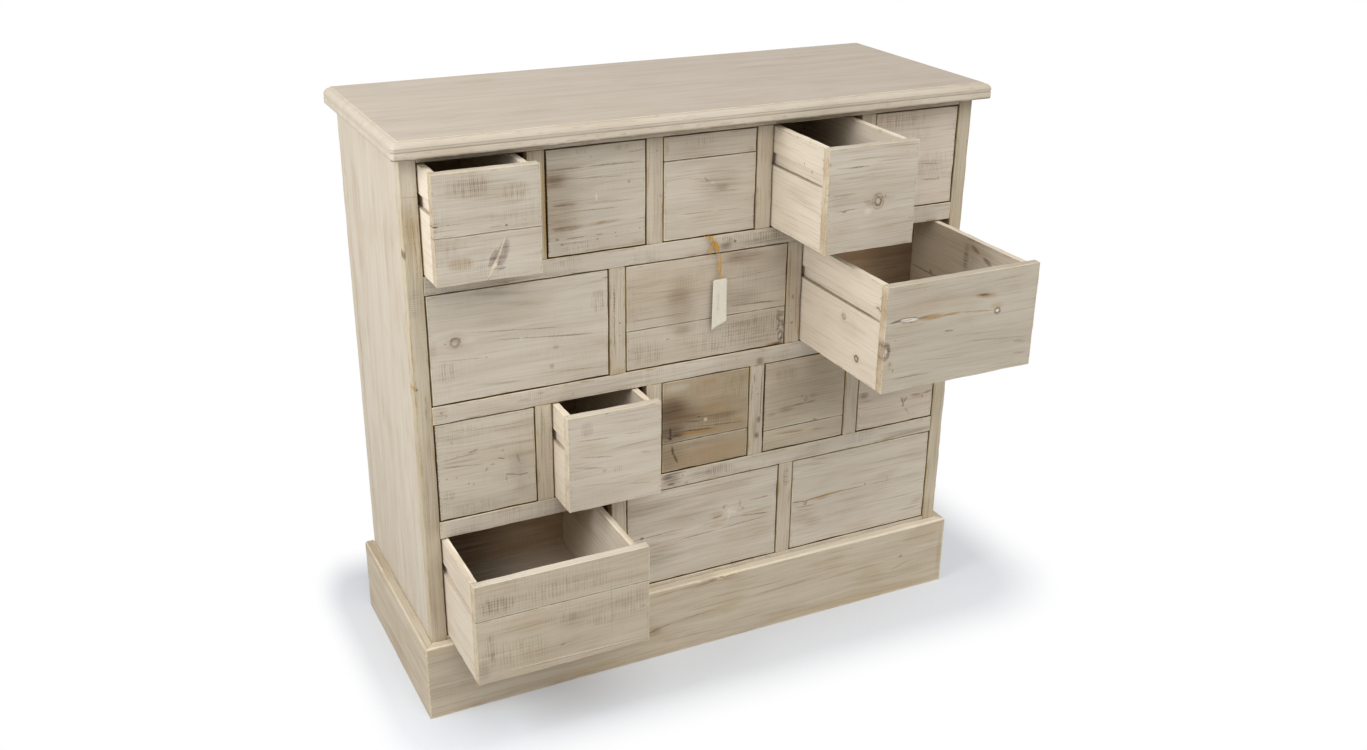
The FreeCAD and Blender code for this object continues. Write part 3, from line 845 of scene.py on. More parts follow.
# The marks on each piece, in the order that they are painted in
MARKS = {
    # Drawer fronts
    "row_1_drawer_1_front": (
        Stain(0, 81, 2.4, 190, "thin", 0.36, 0.3, soft=0.3, blunt=True), Chatter(57, 22, 56, 40, 2.8, 0.75),
        Chatter(122, 36, 46, 34, 3.0, 0.65), Stain(70, 30, 130, 52, "line", 0.35, 0.7, soft=0.9),
        Stain(36, 131, 44, 22, "warm", 0.38), Chatter(36, 131, 44, 24, 3.0, 0.5),
        streak(-2, 73.6, 7.5, 74.2, 2.4, "grime", 0.95, 0), streak(-1, 69.8, 10, 68.8, 1.4, "knot", 0.5, 0.2),
        Stain(21, 73, 3, 2.6, "knot", 0.7, 0.3), streak(22, 73.5, 44, 73, 1.6, "thin", 0.4),
        Stain(105.6, 83.5, 4.4, 3.4, "knot", 0.9, 0.1), streak(80, 84, 100, 83, 2.4, "thin", 0.45),
        Stain(98.5, 124, 44, 17, "smoke", 0.78, 0.45, soft=0.5, tilt=70),
        Stain(84, 129, 30, 10, "smoke", 0.8, 0.45, soft=0.5, tilt=62),
        Stain(96, 146, 15, 5, "smoke", 0.7, 0.4, tilt=12), streak(91, 119, 82, 137, 2.4, "grime", 0.5, 0.6),
        streak(104, 110, 101, 128, 2.4, "grime", 0.45, 0.6),
        streak(103.5, 99, 91, 130, 2.8, "cream", 0.85, 0.2), streak(92, 127, 72, 164, 3.2, "cream", 0.8, 0.3),
        Stain(86, 140, 11, 5.5, "cream", 0.95, 0.1, tilt=42), streak(95, 133, 90, 141, 1.6, "knot", 0.8, 0.1),
        streak(84, 146, 92, 144, 1.6, "knot", 0.7, 0.1), streak(78, 156, 70, 166, 2, "thin", 0.7, 0.2),
    ),
    "row_1_drawer_2_front": (
        # The dark strip at the left end is painted shade in the gap beside the front.
        Stain(0, 81, 2.6, 190, "grime", 0.95, 0, soft=0.3, blunt=True),
        cloud(16, 84, 78, 170, "thin", 0.42, 0.4), cloud(12, 46, 52, 30, "thin", 0.75),
        cloud(14, 46, 30, 16, "knot", 0.45), streak(-2, 30.2, 60, 30.5, 3.2, "thin", 0.75),
        streak(60, 30.5, 158, 31.5, 1.8, "thin", 0.85), streak(26, 45.3, 127, 50.8, 2.2, "thin", 0.6, 0.7),
        Stain(131, 60, 6, 5, "thin", 0.6, 0.2), streak(5, 83.5, 52, 85.6, 6.5, "thin", 0.85),
        streak(10, 84, 30, 85, 3, "knot", 0.6), streak(50, 85.6, 142, 88, 4.5, "thin", 0.42),
        Stain(78, 78, 3.4, 14, "pale", 0.6, 0.2), streak(20, 95.2, 112, 97.7, 1.7, "thin", 0.75),
        streak(58, 97, 112, 97.7, 1.3, "knot", 0.7), streak(2, 120.5, 60, 120, 9.5, "thin", 0.85, 0.4),
        streak(6, 120.5, 30, 120.5, 6, "knot", 0.55), streak(56, 119.5, 126, 117, 6, "line", 0.8),
        streak(76, 118.4, 96, 117.4, 4, "warm", 0.75, 0.3), Stain(14.6, 136.3, 6, 3, "knot", 0.85, 0.1),
        Stain(22, 144.7, 5, 2.6, "knot", 0.75, 0.1), streak(27, 137, 64, 135.6, 3, "knot", 0.65, 0.7),
        streak(13, 144.5, 73, 144.9, 2, "thin", 0.7, 0.8), Stain(79, 143.5, 3.4, 3, "knot", 0.85, 0.1),
        streak(76, 136.2, 88, 136.4, 1.8, "knot", 0.65, 0.3), Stain(108.7, 136.9, 3, 2.4, "knot", 0.7, 0.1),
        Stain(109.4, 143, 2.6, 2.6, "knot", 0.7, 0.1), Stain(149, 135.4, 3.4, 4, "knot", 0.6, 0.1),
        Chatter(55, 7, 20, 12, 2.6, 0.7), Chatter(120, 7, 30, 10, 2.6, 0.55, "warm"),
        streak(30, 18, 64, 16, 4, "thin", 0.5, 0.9), Stain(70, 16.4, 3, 5, "knot", 0.5, 0.3),
        Chatter(46, 153, 60, 14, 4.2, 0.45), streak(146, 119.6, 158, 119.4, 1.8, "thin", 0.6),
        streak(128, 16, 158, 14, 2, "thin", 0.45),
    ),
    "row_1_drawer_3_front": (
        cloud(95, 78, 90, 70, "line", 0.5), cloud(99, 88, 30, 13, "thin", 0.5, 0.2),
        streak(68, 68, 76, 76, 3.6, "thin", 0.6, 0.2), cloud(83, 78, 9, 5, "pale", 0.4, 0.2),
        streak(56, 61, 137, 63, 1.8, "thin", 0.5), streak(40, 68, 69, 71, 1.7, "warm", 0.75, 0.4),
        streak(36, 84, 135, 95, 1.8, "thin", 0.5, 0.7), streak(30, 123, 90, 124, 1.8, "thin", 0.75, 0.6),
        streak(90, 124, 134, 124.7, 1.6, "thin", 0.75), streak(42, 142, 145, 144.6, 1.6, "thin", 0.7, 0.7),
        streak(14, 103, 95, 107, 1.4, "thin", 0.4, 0.7), cloud(5, 16, 9, 24, "thin", 0.4, 0.4),
        cloud(150, 34, 18, 10, "thin", 0.4), Chatter(60, 12, 60, 16, 4.5, 0.4),
        Stain(2, 84, 3, 2, "knot", 0.6, 0), Stain(2, 92, 3, 2, "knot", 0.6, 0),
        cloud(5, 163, 10, 8, "pale", 0.5, 0.1),
    ),
    "row_1_drawer_4_front": (
        Knot(90, 87.5, 11, 14, "pale", 0.4, 0.9, 0.5, tilt=10, outer=0.4),
        streak(97, 80, 94, 93, 3, "knot", 0.6, 0.3), streak(83, 79, 90, 77.5, 2.6, "knot", 0.6, 0.3),
        cloud(76, 90, 22, 10, "thin", 0.4), Stain(103, 81, 2.4, 7, "knot", 0.6, 0.2),
        cloud(73, 101, 18, 14, "pale", 0.45, 0.3), streak(62, 86, 80, 86, 5, "line", 0.5),
        streak(10, 30.2, 72, 31.2, 2, "thin", 0.75, 0.6), streak(36, 31, 62, 31.2, 2, "knot", 0.5),
        streak(3, 70.8, 54, 71.3, 4, "thin", 0.6), streak(4, 76, 40, 75, 3, "thin", 0.5),
        streak(14, 96, 54, 94.6, 1.8, "thin", 0.75, 0.3), streak(26, 97.4, 36, 97, 2.6, "knot", 0.7, 0.1),
        streak(20, 47, 130, 50, 3, "line", 0.5, 0.8), streak(30, 18, 150, 22, 2.4, "line", 0.6, 0.8),
        streak(86, 25.5, 160, 27, 1.4, "thin", 0.6, 0.7), streak(70, 118, 150, 117, 2, "line", 0.5, 0.8),
        streak(20, 126, 60, 125, 1.6, "thin", 0.5), streak(70, 141, 150, 138, 1.6, "line", 0.6, 0.8),
        hole(5.7, 109), hole(6.6, 123.4), hole(1, 138.5), hole(1, 68.5), hole(2.2, 23), hole(3, 48),
        hole(158, 36.7, 2.2), hole(150, 120.5, 2.2), hole(156, 60), hole(157, 150),
        Stain(0, 124, 3, 66, "warm", 0.4, 0.4, soft=0.5, blunt=True),
        Stain(0, 30, 3, 30, "warm", 0.3, 0.8, soft=0.5),
    ),
    "row_1_drawer_5_front": (
        Chatter(28, 12, 66, 44, 2.8, 0.55, "warm"), Chatter(66, 14, 26, 30, 3.0, 0.5),
        Chatter(112, 96, 56, 76, 3.2, 0.26, "smoke"), streak(92, 90.5, 132, 94.7, 2, "line", 0.7, 0.3),
        streak(97, 118, 134, 121, 2.6, "line", 0.8, 0.3), Stain(129.7, 118.3, 3, 5, "thin", 0.7, 0.1),
        Stain(38, 15, 2, 30, "thin", 0.6, 0.3), Stain(24, 130, 60, 20, "line", 0.4),
    ),
    "row_2_drawer_1_front": (
        Knot(39.3, 77.6, 17, 15, "line", 0.4, 0.4, 0.2), streak(34, 71, 45, 70, 4, "smoke", 0.75),
        streak(45, 70.5, 48, 80, 3.6, "smoke", 0.8, 0.4), streak(31, 76, 36, 71, 3, "smoke", 0.8, 0.3),
        Stain(38, 79, 9, 8, "pale", 0.35, 0.3), Stain(24, 77.8, 2.8, 2.4, "knot", 0.75, 0),
        cloud(60, 78, 30, 14, "pale", 0.25, 0.3), Stain(142, 87.7, 6, 4, "pale", 0.8, 0.1, soft=0.6),
        Stain(150, 88, 3, 2, "thin", 0.5, 0), streak(58, 65, 216, 80.7, 2, "thin", 0.62, 0.6),
        streak(98, 83, 262, 99.9, 1.9, "thin", 0.75, 0.6), streak(170, 90, 262, 98.5, 1.4, "thin", 0.45),
        streak(5, 103, 85, 108.6, 1.6, "thin", 0.62), Stain(86, 108.6, 4, 3, "thin", 0.6, 0.1),
        Chatter(268, 48, 26, 46, 3.4, 0.85), Stain(282, 11.3, 16, 2.4, "thin", 0.8, 0.2),
        streak(215, 20, 284, 14, 6, "thin", 0.45, 0.9), Chatter(24, 122, 34, 44, 4.4, 0.6),
        cloud(197, 111, 13, 9, "thin", 0.5, 0.4), cloud(189.5, 142, 11, 11, "thin", 0.55, 0.4),
        wisp(60, 6, 150, 14, 8, "thin", 0.45), wisp(100, 26, 180, 36, 10, "line", 0.4),
        cloud(6, 84, 14, 30, "warm", 0.3, 0.4), streak(170, 150, 284, 158, 2, "line", 0.6, 0.8),
        streak(60, 150, 150, 158, 5, "line", 0.4, 0.6),
    ),
    "row_2_drawer_2_front": (
        cloud(94, 76, 64, 130, "thin", 0.4, 0.2), cloud(90, 60, 44, 30, "thin", 0.4, 0.4),
        cloud(98, 120, 40, 20, "thin", 0.42, 0.3), cloud(205, 12, 90, 26, "thin", 0.62),
        cloud(190, 8, 40, 14, "knot", 0.35), cloud(205, 82, 80, 34, "thin", 0.45, 0.3),
        streak(176, 90.4, 280, 96.8, 3, "thin", 0.75, 0.4), streak(225, 92, 262, 95, 3, "knot", 0.45),
        streak(0, 90.4, 112, 90.8, 1.8, "thin", 0.75), streak(0, 45, 120, 52, 1.6, "line", 0.7, 0.6),
        streak(150, 46, 282, 40, 1.8, "thin", 0.5, 0.6), Stain(232.5, 42, 4, 2, "knot", 0.6, 0),
        cloud(33.8, 15.6, 50, 18, "gold", 0.25), Stain(71, 130.5, 9, 2.6, "thin", 0.75, 0.1, tilt=10),
        Chatter(34, 148, 66, 50, 4.2, 0.5), Chatter(226, 138, 120, 70, 4.4, 0.6),
        Chatter(160, 150, 70, 36, 5.6, 0.45), cloud(226, 140, 110, 64, "thin", 0.36),
        Stain(276, 118, 17, 18, "knot", 0.75, 0.6, soft=0.7), streak(268, 122, 278, 136, 6, "grime", 0.65),
        streak(275, 132, 271, 152, 7, "grime", 0.62), streak(279, 128, 283, 148, 6, "knot", 0.75, 0.4),
        Stain(278, 159, 13, 24, "grime", 0.75, 0.3, soft=0.6),
        Stain(277, 158, 5, 12, "pale", 0.75, 0.3, tilt=-24), Stain(278.5, 113, 15, 4.5, "pale", 0.6, tilt=-8),
        streak(247, 172, 284, 171, 5, "warm", 0.95, 0.2),
        streak(262, 171.5, 284, 170.5, 5, "grime", 0.6, 0.2),
    ),
    "row_2_drawer_3_front": (
        cloud(70, 41, 70, 26, "warm", 0.2, 0.6), streak(56, 59, 112, 60.5, 11, "warm", 0.85, 0.35),
        streak(56, 58, 80, 58, 5, "knot", 0.55), streak(100, 60, 142, 60.5, 4.6, "warm", 0.85, 0.3),
        streak(138, 60.5, 200, 66.8, 2.6, "warm", 0.7, 0.4),
        streak(6, 58.4, 34, 55.6, 4.6, "knot", 0.95, 0.2), streak(30, 54.6, 58, 55, 2, "knot", 0.75, 0.2),
        streak(28, 61.4, 58, 62.6, 2, "knot", 0.6, 0.3),
        Stain(42, 57.8, 42, 9.6, "knot", 0.55, 0.3, soft=0.4, tilt=-4),
        Stain(42.5, 57.8, 34, 6.4, "pale", 0.9, 0.1, soft=0.5, tilt=-4),
        streak(28, 58.5, 50, 57, 1.6, "thin", 0.6, 0.3), streak(30, 66, 88, 67, 5, "warm", 0.35, 0.9),
        wisp(158, 37, 210, 42.6, 11, "warm", 0.7, 0.3), streak(166, 37, 194, 40.5, 6, "knot", 0.75, soft=0.9),
        streak(172, 37, 186, 39, 3, "grime", 0.5, 0.4), cloud(207, 60, 30, 13, "gold", 0.45, 0.3),
        Stain(208.4, 68.9, 14, 13, "knot", 0.85, 0.2, soft=0.5),
        Stain(208.6, 68.6, 7.4, 6.4, "pale", 0.95, 0.1, soft=0.5), Stain(212, 71, 2.4, 3.4, "smoke", 0.6, 0),
        streak(110, 87, 128, 88.5, 3.6, "smoke", 0.62, 0.2), cloud(114, 87, 16, 6, "warm", 0.25, 0.2),
        Stain(4.5, 94, 12, 12, "knot", 0.75, 0.4, soft=0.7),
        Stain(8.5, 104, 7, 26, "knot", 0.85, 0.4, soft=0.6), Stain(4.6, 103, 5, 9, "pale", 0.6, 0.7),
        Stain(3.6, 115, 10, 9, "grime", 0.6, 0.3, soft=0.7), cloud(13, 128, 12, 16, "warm", 0.45),
        Stain(12.5, 125, 4, 9, "thin", 0.7), Stain(19, 137, 4, 8, "thin", 0.6),
        streak(14, 150.5, 92, 153, 2.4, "thin", 0.6), streak(14, 156, 80, 147, 2, "thin", 0.4, 0.6),
        streak(154, 111, 276, 122.6, 2, "thin", 0.55, 0.6), streak(120, 98, 250, 106, 1.6, "line", 0.6, 0.7),
        streak(244, 126, 272, 130, 5, "thin", 0.5), streak(246, 147, 276, 150, 5, "thin", 0.45),
        streak(60, 128, 150, 136, 2, "line", 0.6, 0.7), streak(120, 20, 280, 16, 2, "line", 0.5, 0.8),
        Stain(0, 34, 3, 50, "warm", 0.5, 0.6, soft=0.5, blunt=True),
        Stain(0, 100, 3, 36, "knot", 0.6, 0.7, soft=0.7),
        Stain(0, 140, 3, 50, "warm", 0.4, 0.7, soft=0.5, blunt=True),
    ),
    "row_3_drawer_1_front": (
        # The dark strip at the left end is painted shade in the gap beside the front.
        Stain(0, 81, 2.4, 190, "grime", 0.75, 0, soft=0.3, blunt=True),
        streak(97, 73.2, 108, 76.2, 2, "knot", 0.9, 0), streak(102, 64, 108, 60, 4, "smoke", 0.4, 0.2),
        streak(84, 82.5, 92, 82, 3, "thin", 0.65, 0.2), streak(76, 93, 80, 85, 2.6, "thin", 0.55, 0.2),
        streak(1, 61.4, 68, 56.4, 2.4, "thin", 0.62), streak(50, 55, 66, 51, 3.6, "thin", 0.8, 0.4),
        streak(3, 71, 75, 78.5, 3, "thin", 0.62, 0.4), streak(0, 66, 76, 68, 6, "line", 0.4),
        streak(106, 103, 130, 109, 2.6, "smoke", 0.75, 0.3),
        streak(128, 109.5, 146, 109.3, 3, "smoke", 0.8, 0.2), Stain(109, 111, 5, 12, "smoke", 0.45, 0.4),
        streak(127, 70, 132, 90, 5, "smoke", 0.5, 0.2), cloud(130, 92, 40, 70, "smoke", 0.33, 0.3),
        cloud(132, 132, 30, 30, "smoke", 0.25, 0.3), Stain(47.7, 107, 3, 4.4, "knot", 0.6, 0.1),
        Stain(56, 110, 3, 4, "knot", 0.45, 0.1), Stain(30, 93, 4, 3, "knot", 0.5, 0.1),
        Stain(13.6, 92.2, 5, 2.6, "knot", 0.45, 0.1), Stain(32.6, 56.6, 3.4, 2.6, "thin", 0.6, 0.1),
        Stain(24.8, 32.5, 4, 2.6, "thin", 0.6, 0.1), Chatter(16, 120, 22, 24, 2.6, 0.5),
        Chatter(60, 150, 90, 26, 3.2, 0.42), Chatter(60, 20, 110, 30, 3.0, 0.3),
        streak(20, 17, 146, 20, 1.6, "line", 0.7, 0.7),
    ),
    "row_3_drawer_2_front": (
        streak(14, 40.6, 74, 44.4, 1.9, "thin", 0.7, 0.3), streak(18, 68.6, 76, 78.2, 2.4, "thin", 0.6),
        streak(8, 85, 62, 95, 5, "thin", 0.5), Stain(60, 100, 8, 5, "thin", 0.5, 0.3),
        streak(92, 43, 126, 45.4, 1.7, "thin", 0.6, 0.4), streak(69, 65.3, 144, 63.2, 4, "line", 0.65),
        streak(100, 131.5, 144, 138.6, 1.8, "thin", 0.55, 0.4), streak(62, 3.4, 68, 3, 2, "knot", 0.7, 0),
        cloud(32, 23, 20, 30, "line", 0.25, 0.3), Chatter(32, 24, 24, 30, 3.4, 0.45),
        Chatter(84, 102, 20, 16, 3.4, 0.5), streak(120, 80, 140, 83, 4, "line", 0.6),
        streak(14, 118, 100, 128, 2, "line", 0.5, 0.7), streak(74, 22, 146, 24, 1.6, "line", 0.5, 0.7),
        Stain(0, 81, 2.4, 190, "pale", 0.3, 0.3, soft=0.3, blunt=True),
    ),
    "row_3_drawer_3_front": (
        # The dark clouds and streaks at the left end are partly a stain and partly painted shadow of the open
        # drawer to its left.
        cloud(106, 74, 110, 110, "thin", 0.3, 0.6), cloud(12, 54, 110, 70, "knot", 0.9, 0.2),
        cloud(16, 48, 60, 40, "grime", 0.5, 0.4), cloud(10, 92, 96, 44, "grime", 0.75, 0.3),
        cloud(44, 68, 110, 34, "knot", 0.75, 0.4), streak(12, 98, 46, 96, 9, "grime", 0.8, 0.4, soft=0.9),
        streak(26, 95.5, 104, 101.5, 10, "warm", 0.95, 0.3, soft=0.9),
        streak(36, 92.5, 98, 98, 3.2, "grime", 0.7, 0.4), streak(49, 88, 162, 98, 2.2, "knot", 0.75, 0.4),
        streak(13.6, 80, 14.6, 106, 4.6, "grime", 1.0, 0.1, soft=0.6),
        streak(8, 99, 18, 104, 4, "grime", 0.95, 0.1, soft=0.6),
        streak(17, 115, 20, 133, 5.6, "grime", 0.9, 0.2, soft=0.6),
        streak(20, 130, 28, 149, 5, "grime", 0.9, 0.2, soft=0.6), cloud(14, 134, 70, 60, "knot", 0.5, 0.4),
        Stain(78.5, 79, 8, 7, "cream", 0.8, 0.2, soft=0.7), Stain(66, 71.5, 8, 3, "grime", 0.65, 0.2),
        streak(40, 76, 70, 80, 3, "grime", 0.5), cloud(104, 78, 76, 20, "knot", 0.5, 0.4),
        cloud(140, 92, 24, 12, "warm", 0.45, 0.4), cloud(90, 60, 70, 20, "warm", 0.35),
        cloud(84, 12, 40, 16, "warm", 0.35), streak(100, 5, 150, 4, 2, "thin", 0.6),
        Chatter(130, 30, 50, 60, 3.6, 0.5), Chatter(92, 84, 100, 30, 3.4, 0.4, "grime"),
        Chatter(60, 24, 70, 30, 3.6, 0.35), cloud(26, 12, 60, 20, "pale", 0.22),
        cloud(100, 140, 110, 34, "warm", 0.3, 0.6), cloud(60, 120, 100, 10, "thin", 0.5, 0.6),
    ),
    "row_3_drawer_4_front": (
        # The dark strip at the left end is painted shade in the gap; the broad cloud is partly painted shadow
        # of the open drawer above.
        Stain(0, 81, 2.4, 190, "grime", 0.8, 0, soft=0.3, blunt=True),
        cloud(80, 56, 190, 110, "thin", 0.35, 0.3),
        Stain(82, 79, 9, 14, "line", 0.6, 0.2, soft=0.7, tilt=-12), Stain(73.8, 71.4, 4, 6, "thin", 0.8, 0.1),
        streak(52, 86.6, 84, 85.6, 4, "thin", 0.9, 0.2), streak(80, 86, 104, 84.6, 4, "thin", 0.8, 0.3),
        cloud(96, 74, 18, 12, "thin", 0.4, 0.3), cloud(44, 90, 40, 16, "thin", 0.45, 0.4),
        streak(96, 120, 106, 121.8, 2.4, "knot", 0.85, 0.1), streak(14, 132, 128, 141, 5.5, "warm", 0.5, 0.4),
        streak(20, 134, 128, 142, 1.8, "thin", 0.7, 0.4), cloud(88, 138, 34, 8, "cream", 0.4, 0.3),
        cloud(105, 8, 60, 16, "warm", 0.35, 0.4), cloud(110, 26, 90, 30, "thin", 0.4),
        streak(20, 44, 110, 42, 3, "line", 0.7, 0.6), Chatter(42, 28, 50, 36, 3.0, 0.42),
        streak(120, 92, 150, 94, 3, "thin", 0.4, 0.4), cloud(14, 96, 26, 10, "thin", 0.45),
    ),
    "row_3_drawer_5_front": (
        streak(90, 113, 96, 127, 3.6, "smoke", 0.9, 0.1), streak(104, 114, 96, 127, 3.4, "smoke", 0.8, 0.1),
        cloud(97, 118, 10, 9, "thin", 0.4, 0.2), streak(95, 126, 97, 134, 6, "smoke", 0.65, 0.2),
        wisp(98, 134, 112, 150, 6, "smoke", 0.35, 0.2), streak(108, 112.6, 136, 114.5, 4, "knot", 0.7, 0.3),
        wisp(108, 116, 140, 117.5, 7, "warm", 0.45, 0.3),
        streak(134, 114.5, 160, 111.6, 5.5, "smoke", 0.75, 0.4), Stain(136, 120, 5, 9, "smoke", 0.5, 0.2),
        cloud(11, 96, 26, 16, "thin", 0.85, 0.3), wisp(2, 106, 34, 108, 7, "warm", 0.35),
        streak(4, 123.6, 90, 126, 1.6, "thin", 0.55), cloud(60, 145, 90, 20, "line", 0.3),
        Stain(60, 60, 120, 60, "line", 0.5),
    ),
    "row_4_drawer_1_front": (
        Stain(0, 85, 2.4, 200, "thin", 0.22, 0.3, soft=0.3, blunt=True),
        Chatter(34, 38, 64, 40, 4.6, 0.7, "knot"), Chatter(20, 40, 14, 34, 4.4, 0.5, "knot"),
        Chatter(150, 36, 170, 40, 5.2, 0.42), Chatter(205, 108, 60, 28, 4.8, 0.45, "knot"),
        Chatter(140, 92, 60, 30, 4.8, 0.42), Chatter(250, 92, 60, 60, 5.0, 0.42),
        Chatter(60, 130, 120, 64, 5.0, 0.4), Chatter(22, 110, 20, 60, 4.4, 0.5),
        Stain(219.3, 92, 1.8, 120, "thin", 0.35, 0.1, soft=0.6),
        # The pale band along the top face is a painted highlight, where light from above falls on it.
        Stain(142, 0, 300, 3, "pale", 0.5, 0.3, soft=0.5, blunt=True),
        Stain(146, 31, 1.6, 44, "thin", 0.5, 0.1, soft=0.6), cloud(158, 100, 60, 40, "thin", 0.3, 0.4),
        cloud(150, 140, 170, 44, "thin", 0.3), Stain(137, 137.4, 9, 3, "knot", 0.7, 0.1, tilt=8),
        Stain(21, 94, 4, 16, "knot", 0.4, 0.2), streak(36, 161, 282, 165.6, 1.6, "knot", 0.5, 0.4),
        streak(36, 159, 282, 163.4, 2, "pale", 0.5, 0.3), Stain(273, 105, 12, 5, "thin", 0.55, 0.4),
        cloud(10, 150, 24, 40, "smoke", 0.35, 0.3), Stain(24, 126, 6, 14, "smoke", 0.35, 0.3),
    ),
    "row_4_drawer_2_front": (
        cloud(40, 30, 170, 30, "thin", 0.5, 0.4), cloud(30, 128, 150, 70, "thin", 0.5, 0.4),
        streak(-2, 83.6, 108, 80.6, 1.9, "thin", 0.75, 0.3), Stain(26, 82, 9, 7, "grime", 0.7, 0.1, soft=0.9),
        wisp(30, 84, 110, 88, 6, "smoke", 0.3), streak(60, 104, 120, 100.6, 2, "thin", 0.5, 0.4),
        streak(100, 101, 170, 99, 3, "thin", 0.75, 0.3), streak(168, 99, 268, 94.6, 1.9, "thin", 0.8, 0.3),
        cloud(166, 90, 34, 8, "warm", 0.4, 0.3), streak(158, 75, 178, 73, 3.4, "knot", 0.75, 0.3),
        cloud(168, 70, 40, 16, "warm", 0.4, 0.4), Stain(182, 58, 12, 10, "warm", 0.6, 0.3),
        cloud(190, 68, 34, 24, "pale", 0.3, 0.4), wisp(183, 55, 191, 71, 6, "pale", 0.55, 0.3),
        wisp(186, 70, 210, 73, 7, "pale", 0.5, 0.3), wisp(192, 70, 188, 88, 6, "pale", 0.35, 0.3),
        streak(184, 66, 190, 60, 2.4, "thin", 0.6, 0.3), wisp(90, 88, 150, 82, 8, "pale", 0.3),
        Stain(211.5, 57.4, 6, 18, "warm", 0.45, 0.3), Stain(217, 68, 8, 6, "warm", 0.5, 0.3),
        streak(212, 82.6, 268, 88.6, 3.4, "thin", 0.75, 0.4), streak(240, 84.6, 268, 88, 2, "knot", 0.6, 0.3),
        streak(214, 78, 262, 80.5, 2.4, "warm", 0.5, 0.4), streak(228, 55, 268, 55.9, 2.6, "thin", 0.65, 0.4),
        streak(252, 54, 268, 55, 2.2, "knot", 0.5, 0.3), streak(238, 124, 276, 122, 1.8, "thin", 0.5, 0.3),
        cloud(110, 58, 130, 18, "thin", 0.33), cloud(120, 44, 70, 10, "warm", 0.25),
        cloud(60, 110, 60, 10, "warm", 0.3, 0.4),
    ),
    "row_4_drawer_3_front": (
        streak(0, 81, 32, 84.2, 2.2, "knot", 0.9, 0.1), streak(26, 84, 78, 79.6, 2.4, "knot", 0.95, 0.1),
        streak(28, 83, 112, 80, 4.2, "warm", 0.95, 0.2, soft=0.9),
        streak(76, 79.6, 154, 81, 1.9, "knot", 0.75, 0.2), streak(150, 81, 280, 80.4, 1.9, "thin", 0.6),
        cloud(62, 86, 34, 8, "warm", 0.45, 0.2), streak(32, 82, 30, 90, 2.6, "warm", 0.95, 0),
        streak(31, 89.6, 24, 90.6, 2.4, "knot", 0.8, 0), Stain(27, 87, 9, 7, "warm", 0.4, 0.1),
        streak(2, 92, 50, 96, 5, "thin", 0.5, 0.6), streak(10, 99, 46, 103, 3, "thin", 0.5),
        cloud(47, 131, 44, 20, "warm", 0.3, 0.3), cloud(30, 122, 60, 30, "thin", 0.2, 0.3),
        wisp(20, 11, 92, 21, 5, "thin", 0.4, 0.6), wisp(36, 3, 76, 8, 6, "warm", 0.4, 0.3),
        wisp(226, 152, 284, 150, 5, "thin", 0.6, 0.4), wisp(254, 140, 284, 134, 10, "thin", 0.38, 0.3),
        Stain(200, 78, 2, 20, "line", 0.5, 0.2), Stain(153, 78, 6, 5, "thin", 0.6, 0.1),
        wisp(120, 37, 284, 41, 6, "line", 0.35, 0.6), wisp(150, 118, 280, 122, 4, "line", 0.4, 0.6),
        # The cream band along the right half of the top face is a painted highlight.
        Stain(190, 0, 190, 2.6, "cream", 0.9, 0.3, soft=0.5),
    ),
    # Face frame
    "mullions_small_rows": (
        cloud(391, 398, 16, 12, "smoke", 0.85, 0.3), cloud(400, 394, 10, 8, "knot", 0.6, 0.4),
        Stain(396.8, 502, 10, 15, "smoke", 0.8, 0.2, soft=0.9),
        Stain(393.8, 531, 11, 13, "smoke", 0.9, 0.1, soft=0.9), cloud(390, 516, 16, 60, "thin", 0.35),
        Stain(386, 424, 4, 20, "thin", 0.75, 0.3), Stain(382, 447, 2.6, 40, "knot", 0.65, 0.4),
        Stain(400, 440, 2.4, 60, "thin", 0.7, 0.4), Stain(400, 478, 2.6, 60, "smoke", 0.65, 0.4),
        Stain(391.4, 443, 3.4, 4, "knot", 0.6, 0), Stain(393.4, 454, 4.4, 4, "smoke", 0.6, 0),
        Stain(24.5, 83, 6, 180, "gold", 0.85, 0.3, soft=0.6, blunt=True),
        Stain(26.6, 83, 2.4, 176, "knot", 0.7, 0.2, soft=0.6, blunt=True),
        Stain(10.1, 431, 4, 60, "thin", 0.6), Stain(9, 470, 3, 70, "thin", 0.4),
        Stain(206, 20, 3.4, 4, "thin", 0.5, 0), Stain(212, 90, 4, 8, "thin", 0.4, 0),
        Stain(392, 40, 2, 60, "thin", 0.4),
    ),
    "mullions_large_rows": (
        Stain(8, 70, 2.2, 130, "thin", 0.75, soft=0.6), Stain(8.4, 52, 3.4, 40, "knot", 0.75, 0.4),
        Stain(8, 120, 2.6, 24, "knot", 0.5, 0.4), Stain(14.5, 172, 30, 14, "gold", 0.45),
        Stain(17.3, 91, 3.4, 4, "knot", 0.6, 0), Stain(17, 112, 4, 4, "thin", 0.5, 0),
        Stain(318, 60, 2.4, 110, "gold", 0.8, 0.3, soft=0.6),
        Stain(320.4, 70, 1.6, 120, "knot", 0.5, soft=0.6), Stain(327.4, 95.4, 5, 10, "thin", 0.75, 0.2),
        Stain(326.9, 140.5, 7, 5, "knot", 0.7, 0.2), Stain(325.8, 176, 6, 4, "knot", 0.6, 0.2),
        Stain(334, 110, 3, 80, "thin", 0.35, 0.6), Chatter(330, 430, 16, 40, 3.4, 0.8, "smoke"),
        cloud(336, 470, 5, 40, "smoke", 0.4, 0.4),
    ),
    "rail_over_row_2": (
        cloud(488, 19, 26, 16, "grime", 0.62, 0.3), cloud(496, 12, 16, 12, "smoke", 0.5, 0.4),
        Stain(504.4, 13.7, 5, 6, "knot", 0.85, 0.1), Chatter(560, 12, 110, 20, 4.6, 0.65),
